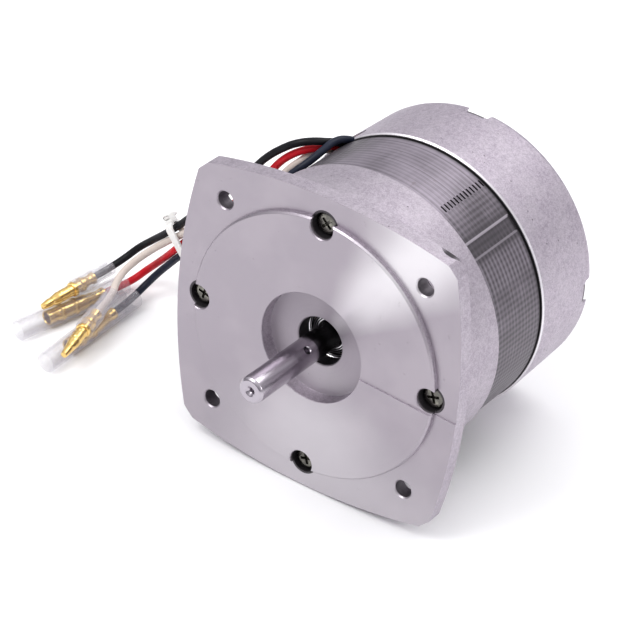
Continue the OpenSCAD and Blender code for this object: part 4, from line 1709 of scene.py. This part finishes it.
@dataclass
class Studio:
    """The camera, the pale floor that the motor rests on, and soft lights."""

    camera_at: Point = (373.7, -582.7, 457.3)
    back: Point = (0.452, -0.707, 0.544)
    roll_deg: float = 5.128
    lens: float = 168.75
    floor_y: float = 5.0
    floor_z: float = -47.5
    floor_slope: float = 0.0706
    floor_half: float = 4000.0

    def set_camera(self) -> None:
        """Makes the camera and sets it as the scene's."""
        data = bpy.data.cameras.new("camera")
        data.lens, data.sensor_width = self.lens, 36.0
        data.clip_start, data.clip_end = 0.05, 20.0
        camera = show(bpy.data.objects.new("camera", data))
        back = Vector(self.back).normalized()
        right = (-back).cross(Vector((0, 0, 1))).normalized()
        up = right.cross(-back)
        roll = math.radians(self.roll_deg)
        x = right * math.cos(roll) + up * math.sin(roll)
        y = up * math.cos(roll) - right * math.sin(roll)
        turn = Matrix((x, y, back)).transposed()
        camera.matrix_world = Matrix.Translation(Vector(self.camera_at) * MM) @ turn.to_4x4()
        bpy.context.scene.camera = camera

    def build(self) -> None:
        """Makes the floor, the sky and the lights."""
        self._floor()
        self._sky()
        self._softbox("key", (-260, -420, 620), (0, 0, 0), 420, 3.2)
        self._softbox("top", (120, 330, 700), (0, 40, 0), 420, 2.0)
        self._softbox("side", (650, -120, 260), (0, 30, 0), 260, 1.0)
        bpy.context.scene.view_settings.view_transform = "Standard"

    def _floor(self) -> None:
        """A wide pale floor, level with what the motor rests on."""
        bpy.ops.object.select_all(action="DESELECT")
        bpy.ops.mesh.primitive_plane_add(size=2 * self.floor_half * MM)
        floor = bpy.context.object
        floor.name = "floor"
        floor.rotation_euler = (math.atan(self.floor_slope), 0, 0)
        floor.location = (0, self.floor_y * MM, (self.floor_z - 0.15) * MM)
        g = Graph("floor_paper")
        tone = g.noise(g.place(), 0.01, 2.0)
        pale = g.mix(tone * 0.1, (0.93, 0.93, 0.935), (0.9, 0.9, 0.905))
        floor.data.materials.append(g.surface(Base_Color=pale, Roughness=0.9))

    @staticmethod
    def _sky() -> None:
        """A pale even surround."""
        world = bpy.data.worlds.new("surround")
        bpy.context.scene.world = world
        world.use_nodes = True
        tree = world.node_tree
        background = tree.nodes["Background"]
        direction = tree.nodes.new("ShaderNodeTexCoord")
        axes = tree.nodes.new("ShaderNodeSeparateXYZ")
        ramp = tree.nodes.new("ShaderNodeValToRGB")
        tree.links.new(direction.outputs["Generated"], axes.inputs[0])
        tree.links.new(axes.outputs["Z"], ramp.inputs["Fac"])
        tree.links.new(ramp.outputs["Color"], background.inputs["Color"])
        ramp.color_ramp.elements[0].position = 0.02
        ramp.color_ramp.elements[0].color = (0.26, 0.25, 0.28, 1.0)
        ramp.color_ramp.elements[1].position = 0.75
        ramp.color_ramp.elements[1].color = (1.0, 1.0, 1.02, 1.0)
        background.inputs["Strength"].default_value = 1.0

    @staticmethod
    def _softbox(name: str, place: Point, target: Point, size: float, power: float) -> None:
        """One square soft light.

        Args:
            name: its name.
            place: where it stands, in millimetres.
            target: what it points at.
            size: the length of its side.
            power: its power in watts.
        """
        data = bpy.data.lights.new(name, "AREA")
        data.size = size * MM
        data.energy = power
        light = show(bpy.data.objects.new(name, data))
        light.location = Vector(place) * MM
        direction = Vector(target) * MM - light.location
        light.rotation_euler = direction.to_track_quat("-Z", "Y").to_euler()


# ---------------------------------------------------------------- assembly


def build_leads() -> None:
    """Makes the terminals, the four leads and their tie."""
    tie = CableTie().build()
    terminals: dict[LeadName, Terminal] = {
        LeadName.BLACK: BulletPlug(LeadName.BLACK, (-105, 10.4, -38.1), (-101, 38.4, -35.3)),
        LeadName.WHITE: BulletPlug(LeadName.WHITE, (-85.5, -3.1, -40.2), (-91.5, 27.2, -35.3)),
        LeadName.RED: Receptacle(LeadName.RED, (-108, 3, -44.3), (-97.9, 41.6, -41.6)),
        LeadName.NAVY: Receptacle(LeadName.NAVY, (-91.2, -4.2, -44.8), (-91.2, 37.8, -41.9)),
    }
    skins = {
        LeadName.BLACK: Polymer(
            "vinyl_black", (0.006, 0.006, 0.008), (0.012, 0.012, 0.016), 0.40, dust=0.02, gloss=0.16
        ),
        LeadName.WHITE: Polymer(
            "vinyl_white", (0.64, 0.56, 0.51), (0.54, 0.46, 0.41), 0.40, 0.0, 0.05, dust=0.04, gloss=0.3
        ),
        LeadName.RED: Polymer(
            "vinyl_red", (0.60, 0.010, 0.020), (0.46, 0.006, 0.014), 0.40, dust=0.02, gloss=0.2
        ),
        LeadName.NAVY: Polymer(
            "vinyl_navy", (0.010, 0.013, 0.026), (0.018, 0.023, 0.042), 0.40, dust=0.02, gloss=0.2
        ),
    }
    lengths = {LeadName.NAVY: 135.2, LeadName.BLACK: 129.9, LeadName.RED: 127.3, LeadName.WHITE: 128.9}
    for name, terminal in terminals.items():
        with_pieces = terminal.build()
        if name is LeadName.BLACK:
            with_pieces.append(tie)
        Lead(name, lengths[name], skins[name], with_pieces).build()


def dress_inside() -> None:
    """Gives every CAD node that keeps its own shape its finish."""
    spring_steel = Metal("spring_steel", (0.16, 0.16, 0.17), 0.30, (0.28, 0.27, 0.27))
    finishes: dict[str, Any] = {
        "slot_liners": Fibre("slot_paper", (0.80, 0.74, 0.58), (0.70, 0.62, 0.45)),
        "slot_wedges": Fibre("wedge_paper", (0.66, 0.56, 0.34), (0.55, 0.45, 0.26)),
        "main_winding": Copper("enamelled_copper"),
        "winding_lacing": Fibre("lacing_cord", (0.84, 0.81, 0.72), (0.70, 0.66, 0.56), 0.5),
        "rotor_core": Laminations("rotor_laminations", (0.26, 0.25, 0.27), (0.44, 0.43, 0.46)),
        "rotor_cage": CastAluminium("cast_cage", (0.74, 0.73, 0.76), (0.58, 0.57, 0.60)),
        "front_circlip": spring_steel,
        "wave_washer": spring_steel,
        "lead_grommet": Polymer("grommet_rubber", (0.020, 0.020, 0.022), (0.035, 0.034, 0.034), 0.62),
        "lead_splices": Polymer("splice_tube", (0.80, 0.78, 0.72), (0.70, 0.67, 0.60), 0.55),
    }
    for node, finish in finishes.items():
        paint_node(node, finish)


def main() -> None:
    """Builds the motor's looks in order."""
    logging.basicConfig(level=logging.INFO, format="%(name)s: %(message)s")
    studio = Studio()
    studio.set_camera()
    build_leads()
    FrontBracket().build()
    RearBracket().build()
    Stator().build()
    Shaft().build()
    ThroughBolts().build()
    Bearing("front", 8.0, Body.FRONT_BALLS).build()
    Bearing("rear", 64.0, Body.REAR_BALLS).build()
    dress_inside()
    studio.build()


if __name__ == "__main__":
    main()
